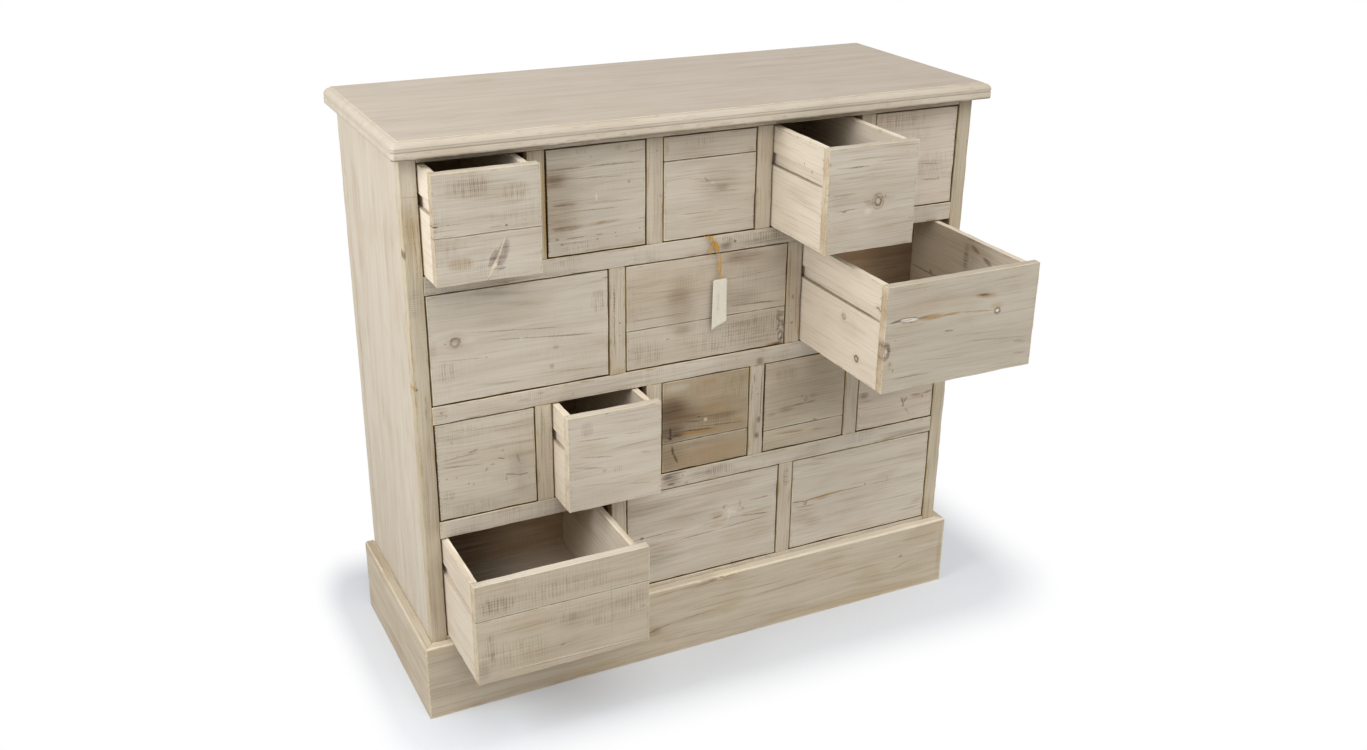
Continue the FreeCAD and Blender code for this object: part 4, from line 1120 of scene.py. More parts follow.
        Chatter(498, 8, 40, 12, 4.2, 0.7), cloud(560, 20, 120, 12, "thin", 0.4, 0.6),
        cloud(170, 24, 180, 7, "thin", 0.4), wisp(20, 26, 120, 27, 3, "knot", 0.45),
        Chatter(220, 10, 60, 14, 3.6, 0.45),
    ),
    "rail_over_row_3": (
        cloud(557, 22, 17, 16, "smoke", 0.85, 0.3), cloud(13, 12, 26, 22, "thin", 0.5, 0.9),
        Stain(14, 11, 5, 4, "knot", 0.5, 0), Stain(21, 18, 4, 3, "knot", 0.5, 0),
        cloud(144, 14, 22, 5, "smoke", 0.5), cloud(172, 8, 16, 5, "thin", 0.5),
    ),
    "rail_over_row_4": (
        cloud(396, 12, 44, 26, "smoke", 0.8), cloud(388, 7, 24, 12, "grime", 0.62, 0.4),
        streak(384, 3.6, 424, 3, 4, "grime", 0.6, 0.4), Stain(417.5, 9.9, 4, 4, "grime", 0.85, 0.1),
        Stain(396, 22, 14, 5, "grime", 0.7), streak(420, 25, 428, 24, 3, "grime", 0.6, 0.3),
        cloud(452, 14, 70, 16, "smoke", 0.5, 0.8), Chatter(488, 13, 64, 22, 4.4, 0.75),
        cloud(640, 24, 120, 6, "thin", 0.4, 0.7), cloud(860, 20, 110, 12, "thin", 0.5, 0.8),
        wisp(800, 26, 916, 22, 3.4, "knot", 0.5, 0.7),
    ),
    "stile_left": (
        streak(0, 59.2, 26, 60.6, 2.4, "thin", 0.75, 0.2), streak(14, 34, 14.2, 60, 1.6, "thin", 0.5, 0.2),
        streak(13.8, 62, 13.8, 88, 1.8, "thin", 0.65, 0.2),
        streak(13.8, 87, 15.4, 124, 1.8, "knot", 0.6, 0.2),
        streak(15.2, 122, 17.8, 150, 1.8, "knot", 0.5, 0.2),
        streak(17.6, 148, 17, 186, 1.8, "thin", 0.6, 0.3), streak(9.9, 38, 9.9, 58, 1.6, "thin", 0.4, 0.2),
        Stain(0.5, 144, 4, 16, "knot", 0.85, 0.1, soft=0.9), Stain(12, 104, 24, 96, "gold", 0.3, soft=0.9),
        Stain(4.2, 351.6, 5, 6, "knot", 0.75, 0.1), Stain(0.8, 350, 4, 10, "warm", 0.6, 0.1, soft=0.9),
        Stain(16.1, 370.4, 2, 14, "knot", 0.5, 0.2), Stain(15.6, 392, 2, 22, "knot", 0.45, 0.2),
        Chatter(12, 220, 22, 60, 3.2, 0.4), Stain(18, 700, 36, 640, "smoke", 0.32, 0.3, soft=1.0, blunt=True),
        cloud(13, 40, 40, 120, "pale", 0.5, 0.3),
    ),
    "stile_right": (
        cloud(12, 240, 14, 220, "warm", 0.25, 0.4), Stain(16, 560, 3, 300, "thin", 0.3, 0.6),
    ),
    # Side panel, from its front edge
    "side_panel_left": (
        # The broad cloud low on the panel is painted shade: the panel is darker towards the bottom.
        cloud(150, 780, 340, 460, "thin", 0.1), streak(131, 295, 115, 317, 2.4, "thin", 0.4, 0.3),
        streak(300, 344, 300, 360, 2.4, "thin", 0.5, 0.2), cloud(305, 460, 22, 1000, "thin", 0.2),
        Stain(311, 460, 3, 1000, "thin", 0.5, 0.4, blunt=True),
    ),
    # Plinth
    "plinth_front": (
        # The pale bands along the top face are a painted highlight, where light falls from above.
        Stain(770, 0, 560, 8, "box", 0.8, 0.3, soft=0.5, blunt=True),
        Stain(230, 0, 560, 6, "box", 0.35, 0.3, soft=0.5, blunt=True), wisp(470, 12, 530, 4, 7, "thin", 0.55),
        cloud(512, 6, 22, 8, "smoke", 0.5, 0.4), streak(514, 3, 568, 0, 12, "cream", 0.7, 0.3),
        streak(524, 3, 534, 6, 3, "warm", 0.9, 0.1), streak(530, 6, 556, 3.4, 2, "knot", 0.6, 0.3),
        streak(530, 7.5, 558, 5, 2.4, "thin", 0.7, 0.3), wisp(380, 82, 440, 70, 5, "grime", 0.6, 0.7),
        wisp(388, 80, 412, 74, 6, "grime", 0.6), cloud(398, 82, 40, 14, "thin", 0.5),
        streak(430, 72, 520, 66, 2.4, "thin", 0.6, 0.4), streak(500, 40, 660, 44, 2, "thin", 0.5),
        wisp(560, 62, 760, 52, 7, "thin", 0.35, 0.6), wisp(700, 66, 900, 60, 5, "thin", 0.35, 0.6),
        cloud(905, 58, 10, 8, "thin", 0.6, 0.2), wisp(880, 84, 930, 70, 4, "thin", 0.4, 0.3),
        cloud(820, 122, 420, 26, "gold", 0.32), cloud(320, 118, 420, 24, "gold", 0.28, 0.6),
        # The thin stain at 250, under the open drawer, is painted shadow of that drawer.
        Stain(250, 60, 200, 30, "thin", 0.3), cloud(992, 66, 12, 130, "warm", 0.3, 0.2),
    ),
    # Drawer boxes, from their front end
    "row_1_drawer_4_box": (
        Stain(54, 37.2, 3, 5, "knot", 0.6, 0.1), Stain(39, 46.8, 4, 5, "knot", 0.65, 0.1),
        # The grime cloud inside, towards the rear, is painted shade where the drawer is still in the carcase.
        cloud(60, 84, 90, 40, "warm", 0.12), cloud(290, 60, 270, 260, "grime", 0.75, 0.2, where="inside"),
    ),
    "row_2_drawer_3_box": (
        Knot(98.8, 85.2, 11, 11, "line", 0.3, 0.9, 0.2), Knot(56.7, 141, 12, 12, "line", 0.3, 0.9, 0.2),
        Knot(7.4, 42.8, 9, 9, "line", 0.3, 0.8, 0.3), cloud(80, 100, 90, 50, "warm", 0.15),
        streak(126, 11, 100, 20, 8, "knot", 0.85, 0.6, where="inside"),
        streak(94, 23, 66, 31, 10, "knot", 0.85, 0.4, where="inside"),
        cloud(136, 36, 16, 56, "knot", 0.55, 0.7, where="inside"),
        streak(150, 14, 40, 20, 14, "warm", 0.38, where="inside"),
        streak(290, 92.6, 180, 93.6, 2.6, "knot", 0.7, 0.2, where="inside"),
        cloud(228, 90, 12, 12, "knot", 0.5, 0.3, where="inside"),
    ),
    "row_4_drawer_1_box": (
        Stain(150, 86, 700, 400, "thin", 0.24, 0.2, soft=0.2, where="outside"),
    ),
}

# Painted shade on the back and the bottom inside some open drawers, from their left end and upper edge
DRAWER_SHADE = {
    "row_1_drawer_4_box": Stain(75, 80, 300, 260, "grime", 0.8, 0.2),
    "row_2_drawer_3_box": cloud(222, 90, 170, 240, "grime", 0.6, 0.2),
    "row_4_drawer_1_box": cloud(40, 110, 310, 270, "grime", 0.9, 0.2),
}

# Drawers whose groove lines are painted at only a share of the others' strength
GROOVE_LINE_SHARE = {"row_4_drawer_1_box": 0.25}


# Operators


def loft(levels, count):
    """Faces that join rings of so many points, one ring after the other, and close both ends."""
    faces = [list(range(count))[::-1], [(levels - 1) * count + n for n in range(count)]]
    for first in range(0, (levels - 1) * count, count):
        for n in range(count):
            following = (n + 1) % count
            faces.append((first + n, first + following, first + count + following, first + count + n))
    return faces


class CHEST_OT_stage(bpy.types.Operator):
    """Set up the camera, the lamps and the pale floor"""

    bl_idname = "chest.stage"
    bl_label = "Studio stage"

    # Where the camera stands and how it looks
    place = Vector((-0.9647, -1.8426, 1.4210))
    turn = math.radians(26.485)
    dip = math.radians(23.595)
    roll = math.radians(-0.709)
    focal_pixels = 1399.6
    frame_pixels = 1367

    # Each lamp's kind, its place and the place that it shines at
    lamps = {
        "side_lamp": ("AREA", (-2.1, -0.25, 1.8), (-0.3, 0.1, 0.6)),
        "front_lamp": ("AREA", (1.6, -1.8, 1.7), (0.3, 0, 0.6)),
        "roof_lamp": ("SUN", (0.1, -0.72, 1), (0, 0, 0)),
    }

    # The floor's colour, the share of light that it throws back, how far it reaches, and how much sooner its
    # shadow fades beside the chest than in front of it
    floor = (0.715, 0.742, 0.782)
    bounce = (0.6, 0.6, 0.6)
    floor_reach = 14
    left_fade = 2.2
    right_fade = 0.85

    def execute(self, context):
        self.make_camera(context.scene)
        self.make_lamps(context.scene)
        self.make_world(context.scene)
        self.make_floor(context.scene)
        context.scene.view_settings.view_transform = "Standard"
        return {"FINISHED"}

    def make_camera(self, scene):
        camera = bpy.data.cameras.new("camera")
        camera.sensor_width = 36
        camera.lens = camera.sensor_width * self.focal_pixels / self.frame_pixels
        level = Vector((math.sin(self.turn), math.cos(self.turn), 0))
        forward = level * math.cos(self.dip) - Vector((0, 0, math.sin(self.dip)))
        right = Vector((math.cos(self.turn), -math.sin(self.turn), 0))
        down = forward.cross(right)
        rolled = right * math.cos(self.roll) + down * math.sin(self.roll)
        upward = right * math.sin(self.roll) - down * math.cos(self.roll)
        axes = Matrix((rolled, upward, -forward)).transposed().to_4x4()
        viewer = bpy.data.objects.new("camera", camera)
        viewer.matrix_world = Matrix.Translation(self.place) @ axes
        scene.collection.objects.link(viewer)
        scene.camera = viewer

    def make_lamps(self, scene):
        light = scene.chest_light
        for name, (kind, place, target) in self.lamps.items():
            lamp = bpy.data.lights.new(name, kind)
            lamp.energy = getattr(light, name)
            if kind == "AREA":
                lamp.size = light.lamp_size
            else:
                lamp.angle = light.roof_lamp_angle
            holder = bpy.data.objects.new(name, lamp)
            holder.location = place
            holder.rotation_euler = (Vector(place) - Vector(target)).to_track_quat("Z", "Y").to_euler()
            scene.collection.objects.link(holder)

    def make_world(self, scene):
        """Even light on all surfaces, and plain white where the camera sees past the floor."""
        shader = Shader(bpy.data.worlds.new("studio"))
        even = shader.add("Background", None, {"Color": WHITE, "Strength": scene.chest_light.fill})
        white = shader.add("Background", None, {"Color": WHITE})
        blend = shader.add("MixShader", None, {0: shader.seen(), 1: even, 2: white})
        shader.add("OutputWorld", None, {"Surface": blend})
        scene.world = shader.owner

    def from_plinth(self, shader):
        """How far a point of the floor is from the plinth, with the light's shorter shadow at the left."""
        low, high = FRAME_BOX
        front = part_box("plinth_front")[0].y
        x, y, _ = shader.split(shader.on_object())
        left = (low.x - x) * self.left_fade
        right = (x - high.x) * self.right_fade
        beside = shader.math("MAXIMUM", shader.math("MAXIMUM", left, right), 0)
        along = shader.math("MAXIMUM", shader.math("MAXIMUM", front - y, y - high.y), 0)
        return (beside * beside + along * along) ** 0.5

    def make_floor(self, scene):
        light = scene.chest_light
        shader = Shader(bpy.data.materials.new("floor_white"))
        seen = shader.seen()
        far = shader.rise(self.from_plinth(shader), light.shadow_reach, light.white_reach)
        glowing = shader.math("MAXIMUM", far, light.floor_glow)
        diffuse = shader.add("BsdfDiffuse", None, {"Color": shader.mix(seen, self.bounce, self.floor)})
        glow = shader.add("Emission", None, {"Color": WHITE, "Strength": 1.0})
        blend = shader.add("MixShader", None, {0: seen * glowing, 1: diffuse, 2: glow})
        shader.add("OutputMaterial", None, {"Surface": blend})
        reach = self.floor_reach
        mesh = bpy.data.meshes.new("floor")
        corners = [(-reach, -reach, 0), (reach, -reach, 0), (reach, reach, 0), (-reach, reach, 0)]
        mesh.from_pydata(corners, [], [(0, 1, 2, 3)])
        mesh.materials.append(shader.owner)
        floor = bpy.data.objects.new("floor", mesh)
        scene.collection.objects.link(floor)
        floor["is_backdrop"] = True


class CHEST_OT_label(bpy.types.Operator):
    """Hang the blank paper label on its jute string"""

    bl_idname = "chest.label"
    bl_label = "Label and string"

    # The string starts in the gap over the rail, bends down in front of it and hangs. Millimetres.
    route = (
        (-1, 21, 747.05), (-1, 2.5, 747.05), (8, 2.5, 735.05),
        (11.5, 2.5, 714.05), (14.5, 2.5, 692.05), (16.5, 2.5, 674.55),
    )
    string_length = 90.7
    second_strand = 5.2
    twist = 1.3

    # The knot's loops and tails
    knot = (
        ((-11, 4.2, 748.5), (-6, 3.6, 744), (-1, 3.2, 739), (5, 2.8, 735), (9, 2.6, 729)),
        ((-3, 5.4, 748), (2, 3.4, 744), (6, 2.4, 737), (12.5, 2.2, 732), (14, 2.4, 725.5), (10.5, 3.2, 723.5),
         (8, 3.6, 729), (4, 3.2, 734), (1.5, 3.2, 727), (-0.5, 3, 718.5)),
        ((3, 4.6, 747), (4.5, 3.2, 740), (2.5, 2.8, 732), (-3, 3, 728), (-5, 3, 719.5)),
        ((6, 4.6, 739), (11, 2.1, 736), (12.5, 2, 729.5), (7, 2.2, 727), (4.5, 3.4, 732), (8, 5, 738)),
    )

    # The label's slanting lower edge, clipped upper corners and narrower upper end; the parts of its sheet
    slant = 11
    clip = 2.5
    taper = 2.2
    columns = 12
    rows = 30

    # A smudge on the label: its place, its two half widths across and its two half heights
    smudge_right = 14.5
    smudge_up = 635
    smudge_width = (1, 4)
    smudge_height = (10, 25)

    def execute(self, context):
        string = self.curve("jute_string", self.route, sizes().string_diameter / 2)
        jute = self.jute()
        string.data.materials.append(jute)
        context.scene.collection.objects.link(string)
        bunch = self.make_bunch(jute)
        tag = self.make_tag()
        context.scene.collection.objects.link(tag)
        stand_for(string, "tag_string")
        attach(bunch, body_of("tag_string"))
        stand_for(tag, "paper_tag")
        Vector(self.route[0]) * MM
        return {"FINISHED"}

    def jute(self):
        shader = Shader(bpy.data.materials.new("jute_fibre"))
        place = shader.on_object()
        x, _, z = shader.split(place)
        strands = shader.math("SINE", (z + x * 0.6) * (math.tau / (self.twist * MM))) * 0.5 + 0.5
        fibres = shader.noise(place, 2600.0, detail=3.0)
        pale = tuple(min(1.0, level * 1.5) for level in finish().jute)
        dark = tuple(level * 0.42 for level in finish().jute)
        paint = shader.mix(shader.rise(fibres, 0.3, 0.7), finish().jute, pale)
        paint = shader.mix(strands * 0.5, paint, dark)
        return shader.principled(paint, 0.85, shader.bump(strands + fibres, 0.0003), specular=0.2)

    def curve(self, name, route, radius):
        """A spline along a route of places in millimetres."""
        curve = bpy.data.curves.new(name, "CURVE")
        curve.dimensions = "3D"
        curve.bevel_depth = radius
        curve.bevel_resolution = 3
        spline = curve.splines.new("NURBS")
        spline.points.add(len(route) - 1)
        for point, place in zip(spline.points, route):
            point.co = (*(Vector(place) * MM), 1)
        spline.order_u = 3
        spline.use_endpoint_u = True
        spline.resolution_u = 12
        return bpy.data.objects.new(name, curve)

    def points(self, route):
        """The places that the spline along a route runs through."""
        holder = self.curve("route", route, 0)
        mesh = bpy.data.meshes.new_from_object(holder)
        places = [vertex.co.copy() for vertex in mesh.vertices]
        bpy.data.meshes.remove(mesh)
        bpy.data.objects.remove(holder)
        return places

    def make_bunch(self, jute):
        """The loose knot with its tails, and the string's second strand down to the label."""
        hanging = [place for place in self.points(self.route) if place.z < self.route[2][2] * MM]
        last = len(hanging) - 1
        second = [
            place + Vector((self.second_strand * MM * math.sin(math.pi * n / last), 0, 0))
            for n, place in enumerate(hanging)
        ]
        piece = Piece("jute_knot")
        for path in (second, *(self.points(route) for route in self.knot)):
            self.tube(piece, path, sizes().string_diameter / 2)
        return piece.build(jute)

    def tube(self, piece, path, radius):
        sides = 8
        last = len(path) - 1
        points = []
        for n, place in enumerate(path):
            ahead = (path[min(n + 1, last)] - path[max(n - 1, 0)]).normalized()
            across = ahead.cross(Vector((0.3, 1, 0.2))).normalized()
            through = ahead.cross(across)
            for side in range(sides):
                turn = math.tau * side / sides
                points.append(place + radius * (across * math.cos(turn) + through * math.sin(turn)))
        zero = (0, 0, 0)
        piece.add(points, loft(len(path), sides), [zero] * len(points), zero, zero)

    def make_tag(self):
        """A thin curled sheet with clipped upper corners and a slanting lower edge."""
        low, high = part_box("paper_tag")
        width, thickness, tall = high - low
        points = []
        for i in range(self.columns + 1):
            across = i / self.columns
            bottom = low.z + self.slant * MM * across
            top = high.z - max(0.0, self.clip * MM - min(across, 1 - across) * width)
            for j in range(self.rows + 1):
                z = bottom + (top - bottom) * j / self.rows
                drop = (high.z - z) / tall
                curl = sizes().tag_curl * (drop**2 * 0.9 - 0.5 * math.sin(math.pi * across) * drop)
                left = self.taper * MM * (1 - drop) * (1 - across)
                points.append((low.x + across * width + left, low.y + thickness / 2 - curl, z))
        faces = []
        for i in range(self.columns):
            for j in range(self.rows):
                here = i * (self.rows + 1) + j
                beside = here + self.rows + 1
                faces.append((here, beside, beside + 1, here + 1))
        sheet = bpy.data.meshes.new("label")
        sheet.from_pydata(points, [], faces)
        sheet.shade_smooth()
        sheet.materials.append(self.card())
        tag = bpy.data.objects.new("label", sheet)
        solid = tag.modifiers.new("Card", "SOLIDIFY")
        solid.thickness = thickness * 0.8
        solid.offset = 0
        return tag

    def card(self):
        shader = Shader(bpy.data.materials.new("label_card"))
        place = shader.on_object()
        x, _, z = shader.split(place)
        fibres = shader.noise(shader.stretch(place, 900, 900, 300), detail=3.0)
        cloudy = shader.noise(place, 70.0, detail=2.0)
        paint = shader.mix(shader.rise(fibres, 0.45, 0.75) * 0.35, finish().paper, srgb(196, 188, 168))
        paint = shader.mix(shader.rise(cloudy, 0.5, 0.75) * 0.3, paint, srgb(240, 236, 224))
        smudge = shader.rise(fibres, 0.4, 0.6) * 0.45
        for axis, middle, (inner, outer) in (
            (x, self.smudge_right, self.smudge_width), (z, self.smudge_up, self.smudge_height),
        ):
            smudge = smudge * shader.rise(abs(axis - middle * MM), inner * MM, outer * MM, 1, 0)
        paint = shader.mix(smudge, paint, srgb(170, 160, 150))
        return shader.principled(paint, 0.8, shader.bump(fibres, 0.00006), specular=0.2)


class CHEST_OT_top_board(bpy.types.Operator):
    """Shape the top board with its raised field, rounded nose, crease and band"""

    bl_idname = "chest.top_board"
    bl_label = "Top board"

    # The board's sides are less worn and less darkened than its front, by these shares
    worn_at_side = 0.6
    dirt_at_side = 0.25

    # How far the edge is worn in, and the line of painted shade over the crease: the nose's step where
    # it lies and half its width in steps
    bite = 0.35
    line_step = 1
    line_half = 0.4

    def execute(self, context):
        low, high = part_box("top_board")
        levels = self.levels(low.z, high.z)
        points, worn, dirt = [], [], []
        for z, inset, clip, is_worn, darkening in levels:
            for point in self.ring(low, high, z, inset, clip):
                at_side = point.y > low.y + inset + clip + MM
                points.append(point)
                worn.append(is_worn * (self.worn_at_side if at_side else 1))
                dirt.append(darkening * (self.dirt_at_side if at_side else 1))
        middle = (low + high) / 2
        places = [point - middle for point in points]
        seed = (12.4, 7.7, 3.1)
        no_arris = (9, 9, 9)
        piece = Piece("top_board_timber")
        piece.add(points, loft(len(levels), len(points) // len(levels)), places, no_arris, seed, worn, dirt)
        material = Pine("limewash_top", LYING).wood(
            wash=srgb(192, 181, 166), shade=srgb(180, 168, 154), streaks=0.8, lines=0.22, bands=0.2, saw=0.03,
            specks=0.2, rub=0.8, bare=0.22, end=0, warmth=0.08, rubbed=srgb(222, 212, 190),
        )
        stand_for(piece.build(material, smooth_angle=40), "top_board")
        return {"FINISHED"}

    def levels(self, bottom, top):
        """Each level's height, inset and corner clip, how worn it is and how far it is darkened."""
        size = sizes()
        band = bottom + size.band_height
        nose = band + size.crease_height
        shoulder = nose + size.nose_height
        clip = size.corner_clip
        field = size.field_inset
        ease = 0.8 * MM
        # The last number darkens a level: its lower edge, and with painted shade the crease and the foot of
        # the field.
        levels = [
            (bottom, ease, clip, 0.0, 0.9),
            (bottom + ease, 0, clip, 0.0, 0.9),
            (bottom + 2.4 * ease, 0, clip, 0.2, 0.7),
            (bottom + 5 * ease, 0, clip, 0.7, 0.0),
            (band - ease, 0, clip, 0.7, 0.1),
            (band, 0.6 * ease, clip, 0.5, 0.3),
            (band + 0.3 * ease, size.crease_depth, clip, 0.4, 0.35),
            (nose - 0.3 * ease, size.crease_depth, clip, 0.4, 0.35),
            (nose, 0.4 * ease, clip, 0.5, 0.2),
            (nose + ease, 0, clip, 0.5, 0.2),
        ]
        steps = 7
        line = (self.line_step - self.line_half, self.line_step + self.line_half)
        for n in sorted((*range(steps + 1), *line)):
            turn = math.pi / 2 * n / steps
            z = shoulder - size.nose_radius * (1 - math.sin(turn))
            inset = size.nose_radius * (1 - math.cos(turn))
            # Painted shade of the crease, as a dark line on the nose just over it
            crease_shade = 0.95 if n == self.line_step else 0.0
            levels.append((z, inset, clip * (1 - n / steps * 0.6), 0.3 + 0.2 * n / steps, crease_shade))
        return levels + [
            (shoulder, field - 0.2 * ease, 0.3 * clip, 0.2, 0.6),
            (shoulder + 0.8 * ease, field, 0.2 * clip, 0.8, 0.1),
            (top - 0.3 * ease, field + 0.3 * ease, 0.2 * clip, 1.0, 0.0),
            (top, field + ease, 0.2 * clip, 0.7, 0.0),
            (top, field + 3.5 * ease, 0.2 * clip, 0.0, 0.0),
        ]

    def ring(self, low, high, z, inset, clip):
        """Points round the board at one level, bitten in unevenly outside the raised field."""
        left, right = low.x + inset, high.x - inset
        front, back = low.y + inset, high.y
        # Where each side starts, its number of steps and the way into the board
        sides = (
            ((left, back), 38, (1, 0)),
            ((left, front + clip), 1, (1, 1)),
            ((left + clip, front), 96, (0, 1)),
            ((right - clip, front), 1, (-1, 1)),
            ((right, front + clip), 38, (-1, 0)),
            ((right, back), 96, (0, 0)),
        )
        points = []
        for n, (start, steps, inward) in enumerate(sides):
            end = Vector(sides[(n + 1) % len(sides)][0])
            for step in range(steps):
                point = Vector((*Vector(start).lerp(end, step / steps), z))
                if inset < sizes().field_inset:
                    uneven = noise.noise(point * 30) + 0.5 * noise.noise(point * 120)
                    point += Vector((*inward, 0)) * (self.bite * MM * max(0.0, uneven))
                points.append(point)
        return points


class CHEST_OT_face_frame(bpy.types.Operator):
    """Make the stiles, rails and mullions of the face frame"""

    bl_idname = "chest.face_frame"
    bl_label = "Face frame"

    def execute(self, context):
        # The gap share darkens the faces inside the gaps: unwashed wood, and painted shade.
        upright = {
            "streaks": 0.75, "lines": 0.5, "hairs": 0.55, "bands": 0.3, "saw": 0.2, "rub": 0.85, "bare": 0.95,
            "grime": 0.6, "rub_width": 2.2, "rubbed": srgb(192, 176, 140), "gap": 0.55,
        }
        for side, gap_side in (("left", 1), ("right", -1)):
            node = "stile_" + side
            material = Pine("limewash_" + node, UPRIGHT_FRONT, node).wood(
                MARKS.get(node, ()), wash=srgb(202, 190, 168), shade=srgb(182, 168, 142), end=0.5, warmth=0.2,
                gap_side=gap_side, **upright
            )
            dress(node, "frame_pine", [Board(*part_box(node), UPRIGHT_FRONT, node)], material)

        for node in ("rail_lowest", "rail_over_row_4", "rail_over_row_3", "rail_over_row_2", "rail_top"):
            # Rails take the full gap colour inside their gaps: unwashed wood, and painted shade.
            material = Pine("limewash_" + node, LEVEL_FRONT, node).wood(
                MARKS.get(node, ()), streaks=0.6, bands=0.35, saw=0.4, specks=0.8, rub=0.65, bare=0.5,
                grime=0.7, gap=1.0,
            )
            dress(node, "frame_pine", [Board(*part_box(node), LEVEL_FRONT, node)], material)

        for node, rows in (("mullions_small_rows", SMALL_ROWS), ("mullions_large_rows", LARGE_ROWS)):
            material = Pine("limewash_" + node, UPRIGHT_FRONT, node).wood(
                MARKS.get(node, ()), wash=srgb(203, 191, 171), specks=0.8, end=0.3, **upright
            )
            dress(node, "frame_pine", [board for row in rows for board in self.mullions(row)], material)
        return {"FINISHED"}

    def mullions(self, row):
        gap = sizes().front_gap
        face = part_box("rail_top")[0].y
        for column in range(1, COLUMNS[row]):
            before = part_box(row_name(row, column) + "_front")
            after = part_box(row_name(row, column + 1) + "_front")
            low = (before[1].x + gap, face, before[0].z - gap)
            high = (after[0].x - gap, face + sizes().frame_thickness, before[1].z + gap)
            yield Board(low, high, UPRIGHT_FRONT, f"mullion {row} {column}")


class CHEST_OT_carcase(bpy.types.Operator):
    """Make the side panels and rear posts, and finish the boards inside and behind"""

    bl_idname = "chest.carcase"
    bl_label = "Carcase"

    def execute(self, context):
        for side in ("left", "right"):
            for node in ("side_panel_" + side, "rear_post_" + side):
                material = Pine("limewash_" + node, UPRIGHT_SIDE, node).wood(
                    MARKS.get(node, ()), wash=srgb(207, 197, 180), shade=srgb(190, 177, 157), streaks=0.6,
                    lines=0.3, bands=0.25, saw=0.05, specks=0.4, rub=0.8, bare=0.5, end=0.4,
                    rubbed=srgb(212, 196, 158),
                )
                dress(node, "panel_pine", [Board(*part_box(node), UPRIGHT_SIDE, node)], material)

        bare = {"wash": finish().inside, "shade": srgb(108, 82, 56), "bands": 0.4, "saw": 0.15, "specks": 0.3}
        level = Pine("bare_pine_lying", LYING, plain=True).wood(**bare)
        deep = Pine("bare_pine_runner", LEVEL_SIDE, plain=True).wood(**bare)
        back = Pine("bare_pine_back", UPRIGHT_FRONT, plain=True).wood(
            wash=srgb(178, 150, 114), shade=srgb(150, 121, 86), streaks=0.8, bands=0.3, saw=0.2
        )
        for node in ("bottom_board", "shelf_over_row_4", "shelf_over_row_3", "shelf_over_row_2"):
            repaint(node, level)
        for node in ("partitions_large_rows", "partitions_small_rows", "runners_left", "runners_right"):
            repaint(node, deep)
        repaint("back_panel", back)
        return {"FINISHED"}


class CHEST_OT_plinth(bpy.types.Operator):
    """Make the mitred plinth with its rounded upper edge"""

    bl_idname = "chest.plinth"
    bl_label = "Plinth"

    def execute(self, context):
        low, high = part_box("plinth_front")
        thickness = high.y - low.y
        left, right = low.x + thickness, high.x - thickness
        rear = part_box("plinth_left")[1].y
        outlines = {
            "plinth_front": [(low.x, low.y), (high.x, low.y), (right, high.y), (left, high.y)],
            "plinth_left": [(low.x, low.y), (left, high.y), (left, rear), (low.x, rear)],
            "plinth_right": [(high.x, low.y), (high.x, rear), (right, rear), (right, high.y)],
        }
        for node, outline in outlines.items():
            in_front = node == "plinth_front"
            axes = LEVEL_FRONT if in_front else LEVEL_SIDE
            material = Pine("limewash_" + node, axes, node).wood(
                MARKS.get(node, ()), wash=srgb(199, 187, 167), shade=srgb(177, 161, 138), streaks=0.85,
                lines=0.4, bands=0.4, saw=0.1, specks=0.3, rub=0.9, bare=0.25, end=0.3, warmth=0.2,
                rub_width=3.6, rubbed=srgb(222, 208, 176) if in_front else srgb(208, 196, 172),
            )
            rounding = (sizes().plinth_arris, self.upper_outer(node))
            board = Board(*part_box(node), axes, node, profile=(2, outline), rounding=rounding)
            dress(node, "plinth_pine", [board], material)
        return {"FINISHED"}

    def upper_outer(self, node):
        """A test that picks the outer arris along a plinth board's top."""
        low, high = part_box(node)
        outer_faces = {"plinth_front": (1, low.y), "plinth_left": (0, low.x), "plinth_right": (0, high.x)}
        axis, outer = outer_faces[node]
        near = 0.5 * MM

        def test(edge):
            places = [vertex.co for vertex in edge.verts]
            return all(place.z >= high.z - near and abs(place[axis] - outer) < near for place in places)

        return test


class CHEST_OT_drawer_fronts(bpy.types.Operator):
    """Make the sixteen drawer fronts, each of one or two planks with its own knots and stains"""

    bl_idname = "chest.drawer_fronts"
    bl_label = "Drawer fronts"

    def execute(self, context):
        for row, column in DRAWERS:
            node = row_name(row, column) + "_front"
            low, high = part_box(node)
            cuts = [high.z, low.z]
            marks = MARKS[node]
            if (row, column) in FRONT_JOINTS:
                share, strength = FRONT_JOINTS[row, column]
                cuts.insert(1, high.z - share * (high.z - low.z))
                marks = (Joint(share * (high.z - low.z), strength), *marks)
            planks = []
            for number, (upper, lower) in enumerate(zip(cuts, cuts[1:])):
                bounds = ((low.x, low.y, lower), (high.x, high.y, upper))
                planks.append(Board(*bounds, LEVEL_FRONT, f"{node} plank {number}", arris=0.6 * MM))
            material = Pine("limewash_" + node, LEVEL_FRONT, node).wood(marks, **FRONT_LOOKS[row, column])
            dress(node, "front_pine", planks, material)
        return {"FINISHED"}


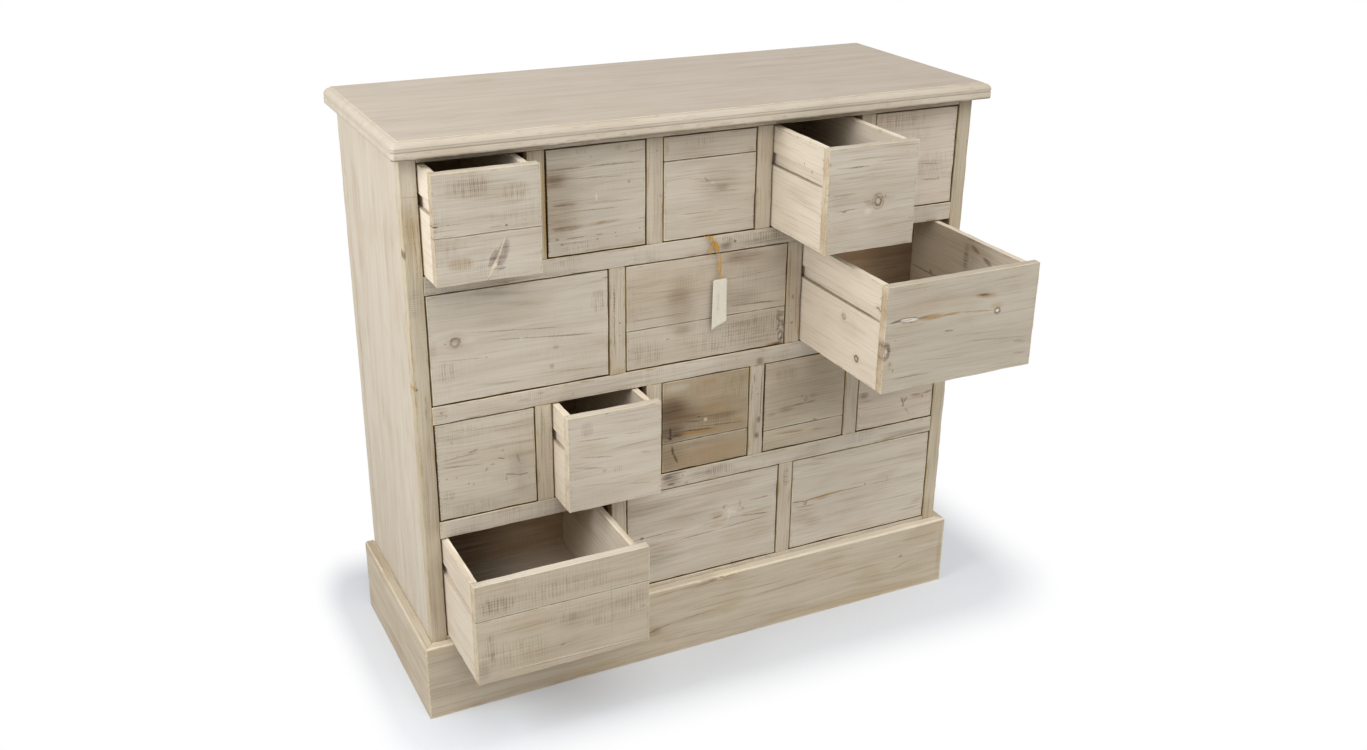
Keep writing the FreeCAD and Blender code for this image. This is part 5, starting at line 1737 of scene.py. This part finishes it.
class CHEST_OT_drawer_boxes(bpy.types.Operator):
    """Make the drawers' grooved sides, backs and bottoms"""

    bl_idname = "chest.drawer_boxes"
    bl_label = "Drawer boxes"

    def execute(self, context):
        unwashed = {
            "wash": srgb(188, 166, 139), "shade": srgb(158, 131, 100), "streaks": 0.9, "bands": 0.4,
            "warmth": 0.3, "rub": 0.4, "end": 0,
        }
        pale = {
            "wash": srgb(216, 202, 182), "shade": srgb(194, 178, 154), "bands": 0.2, "saw": 0, "rub": 0,
            "end": 0,
        }
        back = Pine("bare_drawer_back", LEVEL_FRONT).wood(**unwashed)
        floor = Pine("pale_drawer_floor", LYING).wood(**pale)
        for row, column in DRAWERS:
            node = row_name(row, column) + "_box"
            side = Pine("thin_wash_" + node, LEVEL_SIDE, node).wood(
                self.groove_lines(GROOVE_LINE_SHARE.get(node, 1)) + MARKS.get(node, ()),
                wash=finish().box, shade=srgb(220, 207, 186), streaks=0.5, lines=0.25, bands=0.15, saw=0.05,
                specks=0.15, rub=0.7, bare=0.4, end=0.5, warmth=0.1,
            )
            finishes = [side, back, floor]
            # Open drawers whose back and bottom carry painted shade inside get their own finishes
            if node in DRAWER_SHADE:
                dirt = (DRAWER_SHADE[node],)
                finishes[1] = Pine("dirty_back_" + node, LEVEL_FRONT, node).wood(dirt, **unwashed)
                finishes[2] = Pine("dirty_floor_" + node, LYING, node).wood(dirt, **pale)
            dress(node, "drawer_pine", self.boards(node), *finishes)
        return {"FINISHED"}

    def groove_lines(self, dirt):
        """Dark lines along the two arrises of the groove: the upper is painted shadow under the groove's
        upper edge, the lower darkens its lower arris.
        """
        upper = sizes().groove_drop / MM
        lower = upper + sizes().groove_height / MM
        shared = {"blunt": True, "where": "outside"}
        return (
            Stain(150, upper, 320, 1.6, "thin", 0.5 * dirt, 0.3, soft=0.6, **shared),
            Stain(150, lower, 320, 2.4, "knot", 0.75 * dirt, 0.3, soft=0.7, **shared),
        )

    def boards(self, node):
        size = sizes()
        low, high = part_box(node)
        thick = size.box_side
        groove_top = high.z - size.groove_drop
        groove_low = groove_top - size.groove_height
        left, right = low.x + thick, high.x - thick
        arris = 0.5 * MM
        for side, outer, inner in (("left", low.x, left), ("right", high.x, right)):
            bottom_of_groove = outer + math.copysign(size.groove_depth, inner - outer)
            outline = [
                (inner, low.z), (inner, high.z), (outer, high.z), (outer, groove_top),
                (bottom_of_groove, groove_top), (bottom_of_groove, groove_low), (outer, groove_low),
                (outer, low.z),
            ]
            corners = ((min(outer, inner), low.y, low.z), (max(outer, inner), high.y, high.z))
            yield Board(*corners, LEVEL_SIDE, f"{node} {side}", arris, profile=(1, outline), cuts="y")
        back = high.y - thick
        corners = ((left, back, low.z), (right, high.y, high.z))
        yield Board(*corners, LEVEL_FRONT, node + " back", arris, finish_number=1)
        bottom = low.z + size.bottom_rise
        corners = ((left, low.y, bottom), (right, back, bottom + size.box_bottom))
        yield Board(*corners, LYING, node + " bottom", arris=0.2 * MM, wear=0, finish_number=2)


PARTS = (
    ("stage", CHEST_OT_stage),
    ("label", CHEST_OT_label),
    ("top_board", CHEST_OT_top_board),
    ("face_frame", CHEST_OT_face_frame),
    ("carcase", CHEST_OT_carcase),
    ("plinth", CHEST_OT_plinth),
    ("drawer_fronts", CHEST_OT_drawer_fronts),
    ("drawer_boxes", CHEST_OT_drawer_boxes),
)


class CHEST_PT_sidebar(bpy.types.Panel):
    """Everything that dresses the chest"""

    bl_idname = "CHEST_PT_sidebar"
    bl_label = "Drawer chest"
    bl_space_type = "VIEW_3D"
    bl_region_type = "UI"
    bl_category = "Chest"

    def draw(self, context):
        for name, _ in PARTS:
            self.layout.operator("chest." + name)
        for group in (context.scene.chest_finish, context.scene.chest_sizes, context.scene.chest_light):
            box = self.layout.box()
            for name in group.bl_rna.properties.keys():
                if name not in ("rna_type", "name"):
                    box.prop(group, name)


GROUPS = {"chest_finish": CHEST_PG_finish, "chest_sizes": CHEST_PG_sizes, "chest_light": CHEST_PG_light}
CLASSES = (*GROUPS.values(), *(operator for _, operator in PARTS), CHEST_PT_sidebar)


def register():
    for cls in CLASSES:
        bpy.utils.register_class(cls)
    for name, group in GROUPS.items():
        setattr(bpy.types.Scene, name, bpy.props.PointerProperty(type=group))


def unregister():
    for name in GROUPS:
        delattr(bpy.types.Scene, name)
    for cls in reversed(CLASSES):
        bpy.utils.unregister_class(cls)


def main():
    register()
    for name, _ in PARTS:
        getattr(bpy.ops.chest, name)()
    [[list(corner) for corner in bounds] for bounds in (FRAME_BOX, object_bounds())]


if __name__ == "__main__":
    main()
